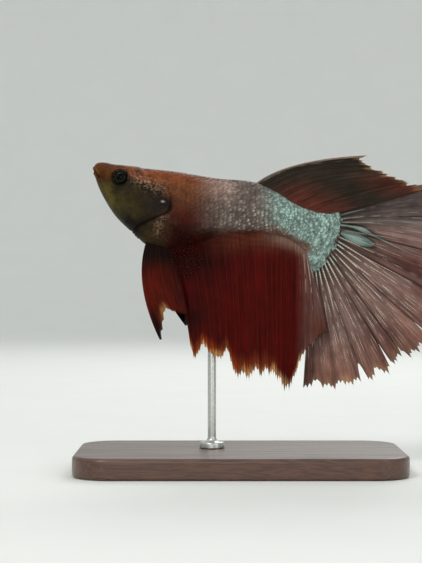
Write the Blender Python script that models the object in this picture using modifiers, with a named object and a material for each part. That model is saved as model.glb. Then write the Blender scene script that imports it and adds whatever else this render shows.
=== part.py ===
"""A male Siamese fighting fish (betta) at life size, held over a plain display stand.

Run with: blender --background --python part.py

Metres, +Z up. The origin is the middle of the stand's underside. The head points along -X, and the
fish's left side faces -Y. The fish itself is laid out in millimetres from the tip of its mouth: x runs
back, y to its right and z up. place() turns such a point into metres in the model's frame.
"""

import math
from bisect import bisect_right
from functools import partial
from typing import NamedTuple

import bmesh
import bpy
from mathutils import Vector

MM = 0.001
GAP = 0.3  # clearance between neighbouring pieces, mm

# The fish over its stand, mm
MOUTH_TIP = Vector((-27.7, 0.0, 57.4))

# The stand, mm
BASE_LENGTH = 62.0
BASE_WIDTH = 34.0
BASE_HEIGHT = 4.0
BASE_CORNER = 7.0
BASE_BEVEL = 0.7
ROD_RADIUS = 0.8
ROD_BACK = 22.4  # how far behind the mouth the rod stands
ROD_ASIDE = 2.2  # how far to the fish's right, so that it passes beside the anal fin
ROD_TOP = -8.6  # its end, inside the trunk
FLANGE_RADIUS = 2.4
FLANGE_HEIGHT = 0.9
SPIGOT_DEPTH = 2.4

# The loft of the body
RINGS = 34
RING_SIDES = 24
HEAD_DENSITY = 1.3  # over 1 packs the rings closer at the head
SPINE_BEND = 0.8  # how far the tail base is swung to the fish's right
BEND_START = 22.0

# The eye
EYE_PLACE = (5.15, -1.95)
EYE_RADIUS = 1.56
EYE_DEPTH = 0.90  # half its thickness from side to side
EYE_SINK = 0.22  # how far its middle lies under the skin

# The gill cover: an egg-shaped plate, blunt in front
GILL_MIDDLE = (10.2, -7.1)
GILL_HALF_LENGTH = 4.5
GILL_HALF_HEIGHT = 3.2
GILL_TAPER = 0.2
GILL_RISE = 0.14
GILL_BLUNTNESS = 2.5
GILL_INNER = 2.5  # how far out from the middle the plate's flat inner face lies
GILL_SIDES = 26

# Cuts that part the body, seen from the side as x, z, each running out past the skin at both ends
JAW_CUT = ((-1.2, -0.15), (0.9, -1.25), (2.4, -3.4), (3.6, -6.0), (3.4, -9.6))
HEAD_CUT = ((11.2, 1.8), (12.0, -1.6), (13.1, -4.2), (12.9, -7.4), (10.6, -11.0), (8.9, -12.8), (7.2, -15.2))
TAIL_CUT = ((38.6, -2.0), (36.4, -17.5))

CUT_REACH = 8.5  # how far cutters reach out to either side

# Fins, seen from the side as x, z. Their rays run from a first to a last: each leaves its root towards
# its bend and ends on the fin's edge, which is a curve of (share of the rays passed, x, z) points.
FIN_THICKNESS = 0.6
DORSAL_ROOTS = (31.0, 44.3)  # along the ridge
DORSAL_BENDS = ((37.4, 1.9), (48.9, -6.1))
DORSAL_EDGE = ((0.0, 52.8, 2.4), (0.1, 51.0, 0.6), (0.25, 53.6, -0.6), (0.6, 58.8, -2.5), (1.0, 64.2, -3.7))
CAUDAL_MIDDLE = (43.9, -13.7)  # the tail fin's edge is an arc round this place
CAUDAL_RADIUS = 28.9
CAUDAL_ANGLES = (23.6, -98.0)  # of its first and last ray, degrees above the level
ANAL_ROOTS = (15.9, 40.2)  # along the ridge over the keel they stand on
ANAL_BENDS = ((18.1, -25.1), (41.0, -23.6))
ANAL_EDGE = (
    (0.00, 18.4, -34.6),
    (0.05, 19.0, -36.6),
    (0.13, 20.8, -34.6),
    (0.23, 23.7, -37.2),
    (0.29, 25.2, -35.6),
    (0.36, 27.0, -40.2),
    (0.48, 30.2, -40.2),
    (0.66, 34.5, -40.2),
    (0.77, 36.8, -43.5),
    (0.86, 38.8, -38.6),
    (0.93, 40.9, -34.2),
    (1.00, 43.6, -31.9),
)
PELVIC_ROOTS = ((9.8, -15.0), (12.6, -15.9))
PELVIC_BENDS = ((8.0, -22.2), (14.8, -21.3))
PELVIC_EDGE = (
    (0.00, 12.8, -32.7),
    (0.14, 13.0, -30.0),
    (0.30, 13.4, -26.6),
    (0.55, 14.9, -26.8),
    (1.00, 17.1, -27.7),
)
PELVIC_SWING = {"left": 0.0, "right": 4.3}  # how far back the tips are swung
PECTORAL_ROOTS = ((13.5, -10.0), (12.7, -13.0))
PECTORAL_EDGE = (
    (0.00, 20.4, -14.2),
    (0.30, 21.3, -16.9),
    (0.60, 20.3, -19.4),
    (0.85, 18.2, -21.0),
    (1.00, 16.0, -21.2),
)
SIDES = {"left": -1, "right": 1}


class Station(NamedTuple):
    """A cross-section of the body, in the plane through its ridge and its keel."""

    ridge: tuple  # x, z
    keel: tuple  # x, z
    half_width: float
    widest: float  # height of the widest place, from 0 at the keel to 1 at the ridge
    upper: float  # roundness above that place: 2 is an ellipse, more is boxy, less is keeled
    lower: float  # and below it
    bulge: float = 0.0  # how far the middle of the section stands back of its plane


BODY = (
    Station((0.00, 0.15), (0.00, -0.60), 0.45, 0.55, 2.2, 2.2),  # mouth tip
    Station((0.30, 0.70), (0.30, -1.95), 1.20, 0.58, 2.4, 2.2),  # lips
    Station((1.10, 1.03), (1.10, -4.10), 1.95, 0.62, 2.6, 2.0),  # corner of the mouth
    Station((2.40, 0.98), (2.40, -6.60), 2.60, 0.62, 2.8, 1.9),  # nostrils
    Station((3.80, 0.68), (3.80, -8.75), 3.10, 0.62, 2.9, 1.9),  # front of the eyes
    Station((5.20, 0.54), (5.20, -10.35), 3.45, 0.60, 2.9, 1.9),  # eyes
    Station((7.00, 0.36), (7.00, -11.95), 3.75, 0.58, 2.7, 1.9),  # cheeks
    Station((9.40, 0.12), (9.40, -14.45), 4.00, 0.56, 2.4, 1.8),  # gill covers
    Station((12.50, -0.19), (12.50, -15.45), 4.15, 0.56, 2.2, 1.9),  # nape and breast
    Station((15.40, -0.50), (15.40, -15.65), 4.10, 0.57, 2.1, 2.0),  # shoulders and belly
    Station((19.50, -1.22), (19.50, -14.55), 3.85, 0.58, 2.0, 1.9),  # vent
    Station((24.00, -1.92), (24.00, -13.20), 3.45, 0.56, 2.0, 1.8),
    Station((30.60, -2.57), (30.60, -12.45), 2.90, 0.52, 2.0, 1.8),  # front of the dorsal fin
    Station((35.00, -4.66), (35.00, -13.05), 2.40, 0.50, 2.0, 1.8),
    Station((38.20, -6.65), (37.60, -13.95), 2.00, 0.50, 2.0, 2.0, 0.1),  # tail stalk
    Station((42.00, -8.10), (39.90, -15.90), 1.45, 0.50, 2.0, 2.0, 0.6),  # flare of the tail base
    Station((45.40, -8.55), (41.30, -19.00), 0.85, 0.50, 2.4, 2.4, 1.4),  # root of the tail fin
)


# ---------------------------------------------------------------- curves and places


def mix(a, b, t):
    """The value or point a fraction t of the way from a to b."""
    if isinstance(a, tuple):
        return tuple(mix(p, q, t) for p, q in zip(a, b))
    return a + (b - a) * t


def smooth(places, values, x):
    """A smooth curve through the values at the given places, read at x."""
    i = min(max(bisect_right(places, x) - 1, 0), len(places) - 2)
    step = places[i + 1] - places[i]
    t = (x - places[i]) / step

    def slope(k):
        before = max(k - 1, 0)
        after = min(k + 1, len(places) - 1)
        return step * (values[after] - values[before]) / (places[after] - places[before])

    rise = t * t * (3 - 2 * t)
    return (
        (1 - rise) * values[i]
        + rise * values[i + 1]
        + t * (1 - t) ** 2 * slope(i)
        - t * t * (1 - t) * slope(i + 1)
    )


def smooth_path(path, u):
    """A point of the smooth curve through a path of (u, x, z) points."""
    places = [point[0] for point in path]
    return tuple(smooth(places, [point[k] for point in path], u) for k in (1, 2))


def rounded(angle, roundness):
    """A point of the unit oval at an angle: roundness 2 is a circle, more is squarer."""
    across = math.cos(angle)
    up = math.sin(angle)
    power = 2 / roundness
    return math.copysign(abs(across) ** power, across), math.copysign(abs(up) ** power, up)


def spine_sway(x):
    """How far the middle of the body is swung to the right, x mm behind the mouth."""
    back = max(x - BEND_START, 0.0) / (BODY[-1].ridge[0] - BEND_START)
    return SPINE_BEND * back * back


def place(x, y, z):
    """A point of the fish, given in mm from its mouth, in the model's frame."""
    return (MOUTH_TIP + Vector((x, y, z))) * MM


# ---------------------------------------------------------------- the body's form


def station_at(x):
    """The cross-section whose ridge is x mm behind the mouth."""
    places = [station.ridge[0] for station in BODY]

    def read(field):
        return smooth(places, [field(station) for station in BODY], x)

    return Station(
        (x, read(lambda s: s.ridge[1])),
        (read(lambda s: s.keel[0]), read(lambda s: s.keel[1])),
        *(read(lambda s, k=k: s[k]) for k in range(2, len(Station._fields))),
    )


def in_section(station, height):
    """The x, z of a height from 0 to 1 up the middle of a cross-section."""
    x, z = mix(station.keel, station.ridge, height)
    return x + station.bulge * 4 * height * (1 - height), z


def body_point(station, angle):
    """A point of the skin: 0 is the right flank, a quarter turn the ridge, half a turn the left flank."""
    upper = math.sin(angle) > 0
    across, up = rounded(angle, station.upper if upper else station.lower)
    height = station.widest + up * (1 - station.widest if upper else station.widest)
    x, z = in_section(station, height)
    return place(x, spine_sway(x) + station.half_width * across, z)


def flank(x, z):
    """Half the body's width at a place in front of the tail stalk, seen from the side."""
    station = station_at(x)
    height = (z - station.keel[1]) / (station.ridge[1] - station.keel[1])
    if height > station.widest:
        share = (height - station.widest) / (1 - station.widest)
        roundness = station.upper
    else:
        share = (station.widest - height) / station.widest
        roundness = station.lower
    return station.half_width * (1 - min(share, 1.0) ** roundness) ** (1 / roundness)


def body_form():
    """The whole body from mouth to tail base, before it is parted: a loft of rings."""
    length = BODY[-1].ridge[0]
    grid = bmesh.new()
    rings = []
    for i in range(RINGS + 1):
        station = station_at(length * (i / RINGS) ** HEAD_DENSITY)
        angles = [math.tau * (k + 0.5) / RING_SIDES for k in range(RING_SIDES)]
        rings.append([grid.verts.new(body_point(station, angle)) for angle in angles])
    for front, back in zip(rings, rings[1:]):
        for k in range(RING_SIDES):
            grid.faces.new((front[k - 1], front[k], back[k], back[k - 1]))
    for ring in (rings[0], rings[-1]):
        # each end is closed with a strip from one flank to the other
        turn = ring[RING_SIDES // 4 :] + ring[: RING_SIDES // 4]
        for k in range(RING_SIDES // 2 - 1):
            grid.faces.new((turn[k], turn[k + 1], turn[-k - 2], turn[-k - 1]))
    bmesh.ops.recalc_face_normals(grid, faces=grid.faces)
    return mesh_from(grid, "body_form")


# ---------------------------------------------------------------- Blender helpers


def mesh_from(grid, name):
    mesh = bpy.data.meshes.new(name)
    grid.to_mesh(mesh)
    grid.free()
    return mesh


def add_object(name, mesh, collection, material=None):
    mesh.shade_smooth()
    mesh.set_sharp_from_angle(angle=math.radians(40))
    piece = bpy.data.objects.new(name, mesh)
    collection.objects.link(piece)
    if material:
        mesh.materials.clear()
        mesh.materials.append(material)
    return piece


def add_cutter(name, mesh, cutters):
    cutter = add_object(name, mesh, cutters)
    cutter.display_type = "WIRE"
    cutter.hide_render = True
    return cutter


def add_boolean(piece, cutter, operation):
    boolean = piece.modifiers.new(f"{operation.lower()} {cutter.name}", "BOOLEAN")
    boolean.operation = operation
    boolean.solver = "EXACT"
    boolean.object = cutter


def evaluated(piece):
    """A copy of a piece's mesh with its modifiers applied."""
    bpy.context.view_layer.update()
    return bpy.data.meshes.new_from_object(piece.evaluated_get(bpy.context.evaluated_depsgraph_get()))


def loose_parts(mesh):
    """The separate bodies of a mesh, each a mesh, from front to back."""
    whole = bmesh.new()
    whole.from_mesh(mesh)
    unseen = set(whole.verts)
    groups = []
    while unseen:
        group = set()
        front = [unseen.pop()]
        while front:
            vert = front.pop()
            group.add(vert.index)
            near = {edge.other_vert(vert) for edge in vert.link_edges} & unseen
            unseen -= near
            front.extend(near)
        groups.append(group)
    whole.free()
    groups.sort(key=lambda group: sum(mesh.vertices[i].co.x for i in group) / len(group))
    parts = []
    for group in groups:
        part = bmesh.new()
        part.from_mesh(mesh)
        others = [vert for vert in part.verts if vert.index not in group]
        bmesh.ops.delete(part, geom=others, context="VERTS")
        bmesh.ops.recalc_face_normals(part, faces=part.faces)
        parts.append(mesh_from(part, "body_part"))
    return parts


def prism(outline, inner, outer):
    """A closed outline of x, z points, extruded from inner to outer mm across the fish."""
    grid = bmesh.new()
    face = grid.faces.new([grid.verts.new(place(x, inner, z)) for x, z in outline])
    walls = bmesh.ops.extrude_face_region(grid, geom=[face])
    moved = [item for item in walls["geom"] if isinstance(item, bmesh.types.BMVert)]
    bmesh.ops.translate(grid, verts=moved, vec=(0, (outer - inner) * MM, 0))
    bmesh.ops.recalc_face_normals(grid, faces=grid.faces)
    return mesh_from(grid, "prism")


def cylinder(x, y, bottom, top, radius):
    """An upright cylinder between two heights, all in mm of the model's frame."""
    grid = bmesh.new()
    bmesh.ops.create_cone(
        grid, cap_ends=True, segments=16, radius1=radius * MM, radius2=radius * MM, depth=(top - bottom) * MM
    )
    bmesh.ops.translate(grid, verts=grid.verts, vec=Vector((x, y, (bottom + top) / 2)) * MM)
    return mesh_from(grid, "cylinder")


def make_material(name, colour, roughness, metallic=0.0):
    material = bpy.data.materials.new(name)
    material.use_nodes = True
    shader = material.node_tree.nodes["Principled BSDF"]
    shader.inputs["Base Color"].default_value = (*colour, 1.0)
    shader.inputs["Roughness"].default_value = roughness
    shader.inputs["Metallic"].default_value = metallic
    return material


# ---------------------------------------------------------------- eyes and gill covers


def eye_mesh(side, extra=0.0):
    """An eye, flattened from side to side. side is -1 on the left and 1 on the right."""
    x, z = EYE_PLACE
    grid = bmesh.new()
    bmesh.ops.create_uvsphere(grid, u_segments=16, v_segments=10, radius=1.0)
    radii = Vector((EYE_RADIUS + extra, EYE_DEPTH + extra, EYE_RADIUS + extra)) * MM
    bmesh.ops.scale(grid, verts=grid.verts, vec=radii)
    bmesh.ops.translate(grid, verts=grid.verts, vec=place(x, side * (flank(x, z) - EYE_SINK), z))
    return mesh_from(grid, "eye")


def gill_outline(extra=0.0):
    """The edge of the gill cover, x, z, optionally grown all round."""
    outline = []
    for k in range(GILL_SIDES):
        across, up = rounded(math.tau * k / GILL_SIDES, GILL_BLUNTNESS)
        back = (GILL_HALF_LENGTH + extra) * across
        z = GILL_RISE * back + (GILL_HALF_HEIGHT + extra - GILL_TAPER * back) * up
        outline.append((GILL_MIDDLE[0] + back, GILL_MIDDLE[1] + z))
    return outline


def gill_block(side, extra=0.0):
    """What a gill cover, or with extra its recess, takes out of the body."""
    return prism(gill_outline(extra), side * (GILL_INNER - extra), side * CUT_REACH)


# ---------------------------------------------------------------- the body's pieces


def wall_mesh(route):
    """A thin wall across the fish along a route of x, z points."""
    grid = bmesh.new()
    edges = [[grid.verts.new(place(x, side * CUT_REACH, z)) for side in (-1, 1)] for x, z in route]
    for (a, b), (c, d) in zip(edges, edges[1:]):
        grid.faces.new((a, b, d, c))
    return mesh_from(grid, "wall")


def add_wall(name, route, cutters):
    wall = add_cutter(name, wall_mesh(route), cutters)
    shell = wall.modifiers.new("thickness", "SOLIDIFY")
    shell.thickness = GAP * MM
    shell.offset = 0.0
    shell.use_even_offset = True
    return wall


def build_gill_covers(form, parts, cutters, material):
    for word, side in SIDES.items():
        cutter = add_cutter(f"gill_block_{word}", gill_block(side), cutters)
        cover = add_object(f"gill_cover_{word}", form.copy(), parts, material)
        add_boolean(cover, cutter, "INTERSECT")


def build_eyes(parts, material):
    for word, side in SIDES.items():
        add_object(f"eye_{word}", eye_mesh(side), parts, material)


def rod_socket():
    """The hole in the trunk that the rod stands in."""
    x, y, top = MOUTH_TIP + Vector((ROD_BACK, ROD_ASIDE, ROD_TOP))
    return cylinder(x, y, BASE_HEIGHT, top + GAP, ROD_RADIUS + GAP)


def build_body(form, parts, cutters, flesh):
    """The body less its eyes and gill covers, parted at the jaw, behind the head and at the tail stalk."""
    whole = add_cutter("body_whole", form.copy(), cutters)
    for word, side in SIDES.items():
        add_boolean(whole, add_cutter(f"gill_recess_{word}", gill_block(side, GAP), cutters), "DIFFERENCE")
        add_boolean(whole, add_cutter(f"eye_socket_{word}", eye_mesh(side, GAP), cutters), "DIFFERENCE")
    add_boolean(whole, add_cutter("rod_socket", rod_socket(), cutters), "DIFFERENCE")
    for name, route in (("jaw_cut", JAW_CUT), ("head_cut", HEAD_CUT), ("tail_cut", TAIL_CUT)):
        add_boolean(whole, add_wall(name, route, cutters), "DIFFERENCE")
    pieces = loose_parts(evaluated(whole))
    for mesh, (name, material) in zip(pieces, flesh, strict=True):
        add_object(name, mesh, parts, material)


# ---------------------------------------------------------------- fins


def ray_point(root, bend, tip, v):
    """A point v of the way along a ray that leaves its root towards bend and ends at its tip."""
    return mix(mix(root, bend, v), mix(bend, tip, v), v)


def worn(u, teeth, depth):
    """How much of its length the ray at u has kept: the edge is worn into uneven pointed teeth."""
    notch = abs(math.sin(math.pi * teeth * u)) ** 0.8
    uneven = 0.6 + 0.4 * math.sin(5.1 * teeth * u)
    return 1 - depth * notch * uneven


def build_fin(name, fin_point, columns, rows, parts, material):
    """A fin FIN_THICKNESS thick. fin_point(u, v) gives x, y, z, u across its rays and v along them."""
    grid = bmesh.new()
    bmesh.ops.create_grid(grid, x_segments=columns, y_segments=rows, size=0.5)
    for vert in grid.verts:
        vert.co = place(*fin_point(vert.co.x + 0.5, vert.co.y + 0.5))
    fin = add_object(name, mesh_from(grid, name), parts, material)
    shell = fin.modifiers.new("thickness", "SOLIDIFY")
    shell.thickness = FIN_THICKNESS * MM
    shell.offset = 0.0


def dorsal_point(u, v):
    """The back fin, swept back over the tail."""
    root_x, root_z = station_at(mix(*DORSAL_ROOTS, u)).ridge
    reach = v * worn(u, teeth=7, depth=0.06)
    x, z = ray_point((root_x, root_z + GAP), mix(*DORSAL_BENDS, u), smooth_path(DORSAL_EDGE, u), reach)
    lean = -0.8 * v
    ripple = 0.7 * v * v * math.sin(math.tau * 1.6 * u)
    return x, spine_sway(root_x) + lean + ripple, z


def caudal_point(u, v):
    """The tail fin, a fan from the curved end of the body, from its top ray to its lowest."""
    root_x, root_z = in_section(BODY[-1], mix(0.97, 0.03, u))
    root = (root_x + 1.3 * GAP, root_z)
    angle = math.radians(mix(*CAUDAL_ANGLES, u))
    radius = CAUDAL_RADIUS * worn(u, teeth=16, depth=0.08)
    tip = (CAUDAL_MIDDLE[0] + radius * math.cos(angle), CAUDAL_MIDDLE[1] + radius * math.sin(angle))
    bend_x, bend_z = mix(root, tip, 0.45)
    bow = max(1 - 2 * u, 0.0)
    x, z = ray_point(root, (bend_x, bend_z + bow), tip, v)
    lean = 0.9 * v + 1.2 * v * v * (1 - u)
    pleats = 1.3 * v**1.5 * math.sin(math.tau * (3.3 * u - 0.05))
    return x, SPINE_BEND + lean + pleats, z


def anal_point(u, v):
    """The deep fin under the body, from its front ray behind the vent to its last under the tail."""
    root_x, root_z = station_at(mix(*ANAL_ROOTS, u)).keel
    reach = v * worn(u, teeth=12, depth=0.05)
    x, z = ray_point((root_x, root_z - GAP), mix(*ANAL_BENDS, u), smooth_path(ANAL_EDGE, u), reach)
    lean = -1.9 * v**0.8 * u**3  # its rear hangs to the left of the tail fin
    ripple = 0.55 * v * math.sin(math.tau * (2.6 * u + 0.5))
    return x, spine_sway(root_x) + lean + ripple, z


def pelvic_point(word, u, v):
    """A long pointed belly fin. Its first ray is the longest."""
    swing = PELVIC_SWING[word]
    bend_x, bend_z = mix(*PELVIC_BENDS, u)
    bend = (bend_x + swing * mix(0.6, 0.3, u), bend_z)
    x, z = ray_point(mix(*PELVIC_ROOTS, u), bend, smooth_path(PELVIC_EDGE, u), v)
    aside = 1.1 + 1.5 * v + 0.25 * v * math.sin(math.tau * 1.5 * u)
    return x + swing * v * v, SIDES[word] * aside, z + 0.55 * swing * v


def pectoral_point(word, u, v):
    """The small rounded fin behind the gill cover, laid back and down."""
    root = mix(*PECTORAL_ROOTS, u)
    tip = smooth_path(PECTORAL_EDGE, u)
    middle_x, middle_z = mix(root, tip, 0.5)
    x, z = ray_point(root, (middle_x + 0.5, middle_z + 0.3), tip, v)
    out = flank(*root) + FIN_THICKNESS / 2 + 1.3 * GAP
    return x, SIDES[word] * (out + 2.9 * v**0.9 - 0.9 * v**3), z


def build_fins(parts, material):
    build_fin("fin_dorsal", dorsal_point, 28, 7, parts, material)
    build_fin("fin_caudal", caudal_point, 64, 6, parts, material)
    build_fin("fin_anal", anal_point, 48, 6, parts, material)
    for word in SIDES:
        build_fin(f"fin_pelvic_{word}", partial(pelvic_point, word), 10, 7, parts, material)
        build_fin(f"fin_pectoral_{word}", partial(pectoral_point, word), 10, 6, parts, material)


# ---------------------------------------------------------------- the stand


def rounded_rectangle(length, width, corner, steps=6):
    """The outline of a flat plate with round corners, as x, y points."""
    outline = []
    for quarter, (sx, sy) in enumerate(((1, 1), (-1, 1), (-1, -1), (1, -1))):
        for k in range(steps + 1):
            angle = math.pi / 2 * (quarter + k / steps)
            x = sx * (length / 2 - corner) + corner * math.cos(angle)
            y = sy * (width / 2 - corner) + corner * math.sin(angle)
            outline.append((x, y))
    return outline


def build_base(parts, cutters, material):
    """The flat plate, with a hole for the rod's spigot."""
    grid = bmesh.new()
    outline = rounded_rectangle(BASE_LENGTH, BASE_WIDTH, BASE_CORNER)
    face = grid.faces.new([grid.verts.new((x * MM, y * MM, 0)) for x, y in outline])
    walls = bmesh.ops.extrude_face_region(grid, geom=[face])
    moved = [item for item in walls["geom"] if isinstance(item, bmesh.types.BMVert)]
    bmesh.ops.translate(grid, verts=moved, vec=(0, 0, BASE_HEIGHT * MM))
    bmesh.ops.recalc_face_normals(grid, faces=grid.faces)
    base = add_object("stand_base", mesh_from(grid, "stand_base"), parts, material)
    bevel = base.modifiers.new("edge", "BEVEL")
    bevel.width = BASE_BEVEL * MM
    bevel.segments = 2
    bevel.limit_method = "ANGLE"
    bevel.angle_limit = math.radians(60)
    x, y, _ = MOUTH_TIP + Vector((ROD_BACK, ROD_ASIDE, 0))
    hole = cylinder(x, y, BASE_HEIGHT - SPIGOT_DEPTH - GAP, BASE_HEIGHT + 1.0, ROD_RADIUS + GAP)
    add_boolean(base, add_cutter("spigot_hole", hole, cutters), "DIFFERENCE")


def build_rod(parts, material):
    """The turned rod: a shaft from the trunk to a flange on the plate, and a spigot into it."""
    top = MOUTH_TIP.z + ROD_TOP
    flange = BASE_HEIGHT + GAP
    foot = BASE_HEIGHT - SPIGOT_DEPTH
    profile = (
        (0.0, top),
        (ROD_RADIUS - 0.2, top),
        (ROD_RADIUS, top - 0.2),
        (ROD_RADIUS, flange + FLANGE_HEIGHT + 0.8),
        (ROD_RADIUS + 0.25, flange + FLANGE_HEIGHT + 0.2),
        (ROD_RADIUS + 0.8, flange + FLANGE_HEIGHT),
        (FLANGE_RADIUS - 0.2, flange + FLANGE_HEIGHT),
        (FLANGE_RADIUS, flange + FLANGE_HEIGHT - 0.2),
        (FLANGE_RADIUS, flange),
        (ROD_RADIUS, flange),
        (ROD_RADIUS, foot),
        (0.0, foot),
    )
    grid = bmesh.new()
    verts = [grid.verts.new((radius * MM, 0, height * MM)) for radius, height in profile]
    for a, b in zip(verts, verts[1:]):
        grid.edges.new((a, b))
    rod = add_object("stand_rod", mesh_from(grid, "stand_rod"), parts, material)
    rod.location = Vector((MOUTH_TIP.x + ROD_BACK, ROD_ASIDE, 0)) * MM
    turn = rod.modifiers.new("turn", "SCREW")
    turn.steps = 16
    turn.render_steps = 16
    turn.use_merge_vertices = True
    turn.merge_threshold = 0.00001


# ---------------------------------------------------------------- the model


def clear_scene():
    for piece in list(bpy.data.objects):
        bpy.data.objects.remove(piece)


def new_collection(name):
    collection = bpy.data.collections.new(name)
    bpy.context.scene.collection.children.link(collection)
    return collection


def build():
    clear_scene()
    parts = new_collection("betta_fish")
    cutters = new_collection("cutters")

    head = make_material("head", (0.10, 0.045, 0.02), 0.45)
    gill = make_material("gill_cover", (0.035, 0.028, 0.014), 0.35)
    trunk = make_material("trunk", (0.15, 0.085, 0.06), 0.4)
    tail = make_material("tail_stalk", (0.16, 0.26, 0.24), 0.35)
    fins = make_material("fins", (0.07, 0.012, 0.009), 0.5)
    eyes = make_material("eyes", (0.012, 0.015, 0.008), 0.08)
    wood = make_material("base_wood", (0.05, 0.028, 0.018), 0.4)
    steel = make_material("rod_steel", (0.6, 0.6, 0.58), 0.3, metallic=1.0)

    form = body_form()
    build_eyes(parts, eyes)
    build_gill_covers(form, parts, cutters, gill)
    flesh = (("jaw_lower", head), ("head", head), ("trunk", trunk), ("tail_stalk", tail))
    build_body(form, parts, cutters, flesh)
    build_fins(parts, fins)
    build_base(parts, cutters, wood)
    build_rod(parts, steel)


build()
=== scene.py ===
"""The looks of the betta fish model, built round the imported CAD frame.

The fish is laid out in millimetres from the tip of its mouth, as the CAD is: x runs back, y to the
fish's right and z up. build_piece() turns such places into metres in the model's frame. Most functions
take and give whole numpy arrays of places.

The skin is one mesh. A place on it is a pair: x, how far behind the mouth its ridge lies, and g, how far
round it lies: 0 is the ridge, -1 the keel by the left side and 1 the keel by the right.
"""

import math
from functools import partial
from typing import Callable, NamedTuple

import bpy
import numpy as np
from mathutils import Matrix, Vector


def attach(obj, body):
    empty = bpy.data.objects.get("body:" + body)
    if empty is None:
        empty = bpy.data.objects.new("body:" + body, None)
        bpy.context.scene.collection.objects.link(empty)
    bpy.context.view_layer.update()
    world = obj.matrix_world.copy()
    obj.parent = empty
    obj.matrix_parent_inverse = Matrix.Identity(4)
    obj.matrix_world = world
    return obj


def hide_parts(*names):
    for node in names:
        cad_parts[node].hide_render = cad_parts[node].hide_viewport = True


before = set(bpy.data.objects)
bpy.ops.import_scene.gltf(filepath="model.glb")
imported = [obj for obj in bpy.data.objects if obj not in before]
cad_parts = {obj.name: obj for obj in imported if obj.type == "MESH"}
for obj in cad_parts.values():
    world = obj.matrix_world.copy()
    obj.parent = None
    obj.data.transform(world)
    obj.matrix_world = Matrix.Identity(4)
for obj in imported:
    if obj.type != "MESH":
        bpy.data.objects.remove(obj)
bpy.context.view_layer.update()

MM = 0.001
MOUTH_TIP = np.array((-27.7, 0.0, 57.4))  # in the model's frame, in mm
SIDES = {"left": -1, "right": 1}


# ---------------------------------------------------------------- curves and masks


def mix(a, b, t):
    """The value a fraction t of the way from a to b."""
    return a + (b - a) * t


def joined(*parts):
    """The parts of many places or colours as one array, which ends in a column for each part."""
    return np.stack(np.broadcast_arrays(*parts), axis=-1)


def ramp(value, low, high):
    """A soft step from 0 at low to 1 at high. low may be above high."""
    t = np.clip((value - low) / (high - low), 0.0, 1.0)
    return t * t * (3 - 2 * t)


def bell(value, width, middle=0.0):
    """A soft mask: 1 where the value is at the middle, fading over the width."""
    return np.exp(-(((value - middle) / width) ** 2))


def wave(turns):
    """A sine of a number of whole turns."""
    return np.sin(math.tau * turns)


def oval(x, z, middle, reach, lean=0.0):
    """How far places lie from an oval's middle, 1 at its rim. It is turned by lean degrees."""
    turn = math.radians(lean)
    along = (x - middle[0]) * math.cos(turn) + (z - middle[1]) * math.sin(turn)
    up = (z - middle[1]) * math.cos(turn) - (x - middle[0]) * math.sin(turn)
    return np.hypot(along / reach[0], up / reach[1])


def spot(x, z, middle, reach, lean=0.0):
    """A soft round mask: 1 at its middle, fading over its reach along and up."""
    return bell(oval(x, z, middle, reach, lean), 1.0)


def smooth(places, values, x):
    """Smooth curves through the values at the given places, read at x. values may have columns."""
    i = np.clip(np.searchsorted(places, x, side="right") - 1, 0, len(places) - 2)
    step = places[i + 1] - places[i]
    t = (x - places[i]) / step

    def wide(number):
        return number.reshape(number.shape + (1,) * (values.ndim - 1))

    def slope(k):
        before = np.maximum(k - 1, 0)
        after = np.minimum(k + 1, len(places) - 1)
        return wide(step / (places[after] - places[before])) * (values[after] - values[before])

    t = wide(t)
    rise = t * t * (3 - 2 * t)
    bends = t * (1 - t) ** 2 * slope(i) - t * t * (1 - t) * slope(i + 1)
    return (1 - rise) * values[i] + rise * values[i + 1] + bends


def route(*points, count=40):
    """A smooth route through x, z points."""
    points = np.array(points)
    return smooth(np.arange(len(points), dtype=float), points, np.linspace(0, len(points) - 1, count))


class Near(NamedTuple):
    """Where places lie from a route."""

    distance: np.ndarray
    ahead: np.ndarray  # the distance, with a minus behind a route that runs down
    share: np.ndarray  # how far along the route, 0 to 1


def near(line, x, z):
    """How places lie from a route."""
    best = np.full(np.shape(x), np.inf)
    ahead = np.zeros_like(best)
    share = np.zeros_like(best)
    count = len(line) - 1
    for k in range(count):
        start = line[k]
        run = line[k + 1] - start
        t = np.clip(((x - start[0]) * run[0] + (z - start[1]) * run[1]) / (run @ run), 0, 1)
        off_x = x - start[0] - t * run[0]
        off_z = z - start[1] - t * run[1]
        distance = np.hypot(off_x, off_z)
        closer = distance < best
        best = np.where(closer, distance, best)
        ahead = np.where(closer, distance * np.sign(run[1] * off_x - run[0] * off_z), ahead)
        share = np.where(closer, (k + t) / count, share)
    return Near(best, ahead, share)


# ---------------------------------------------------------------- sizes

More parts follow.
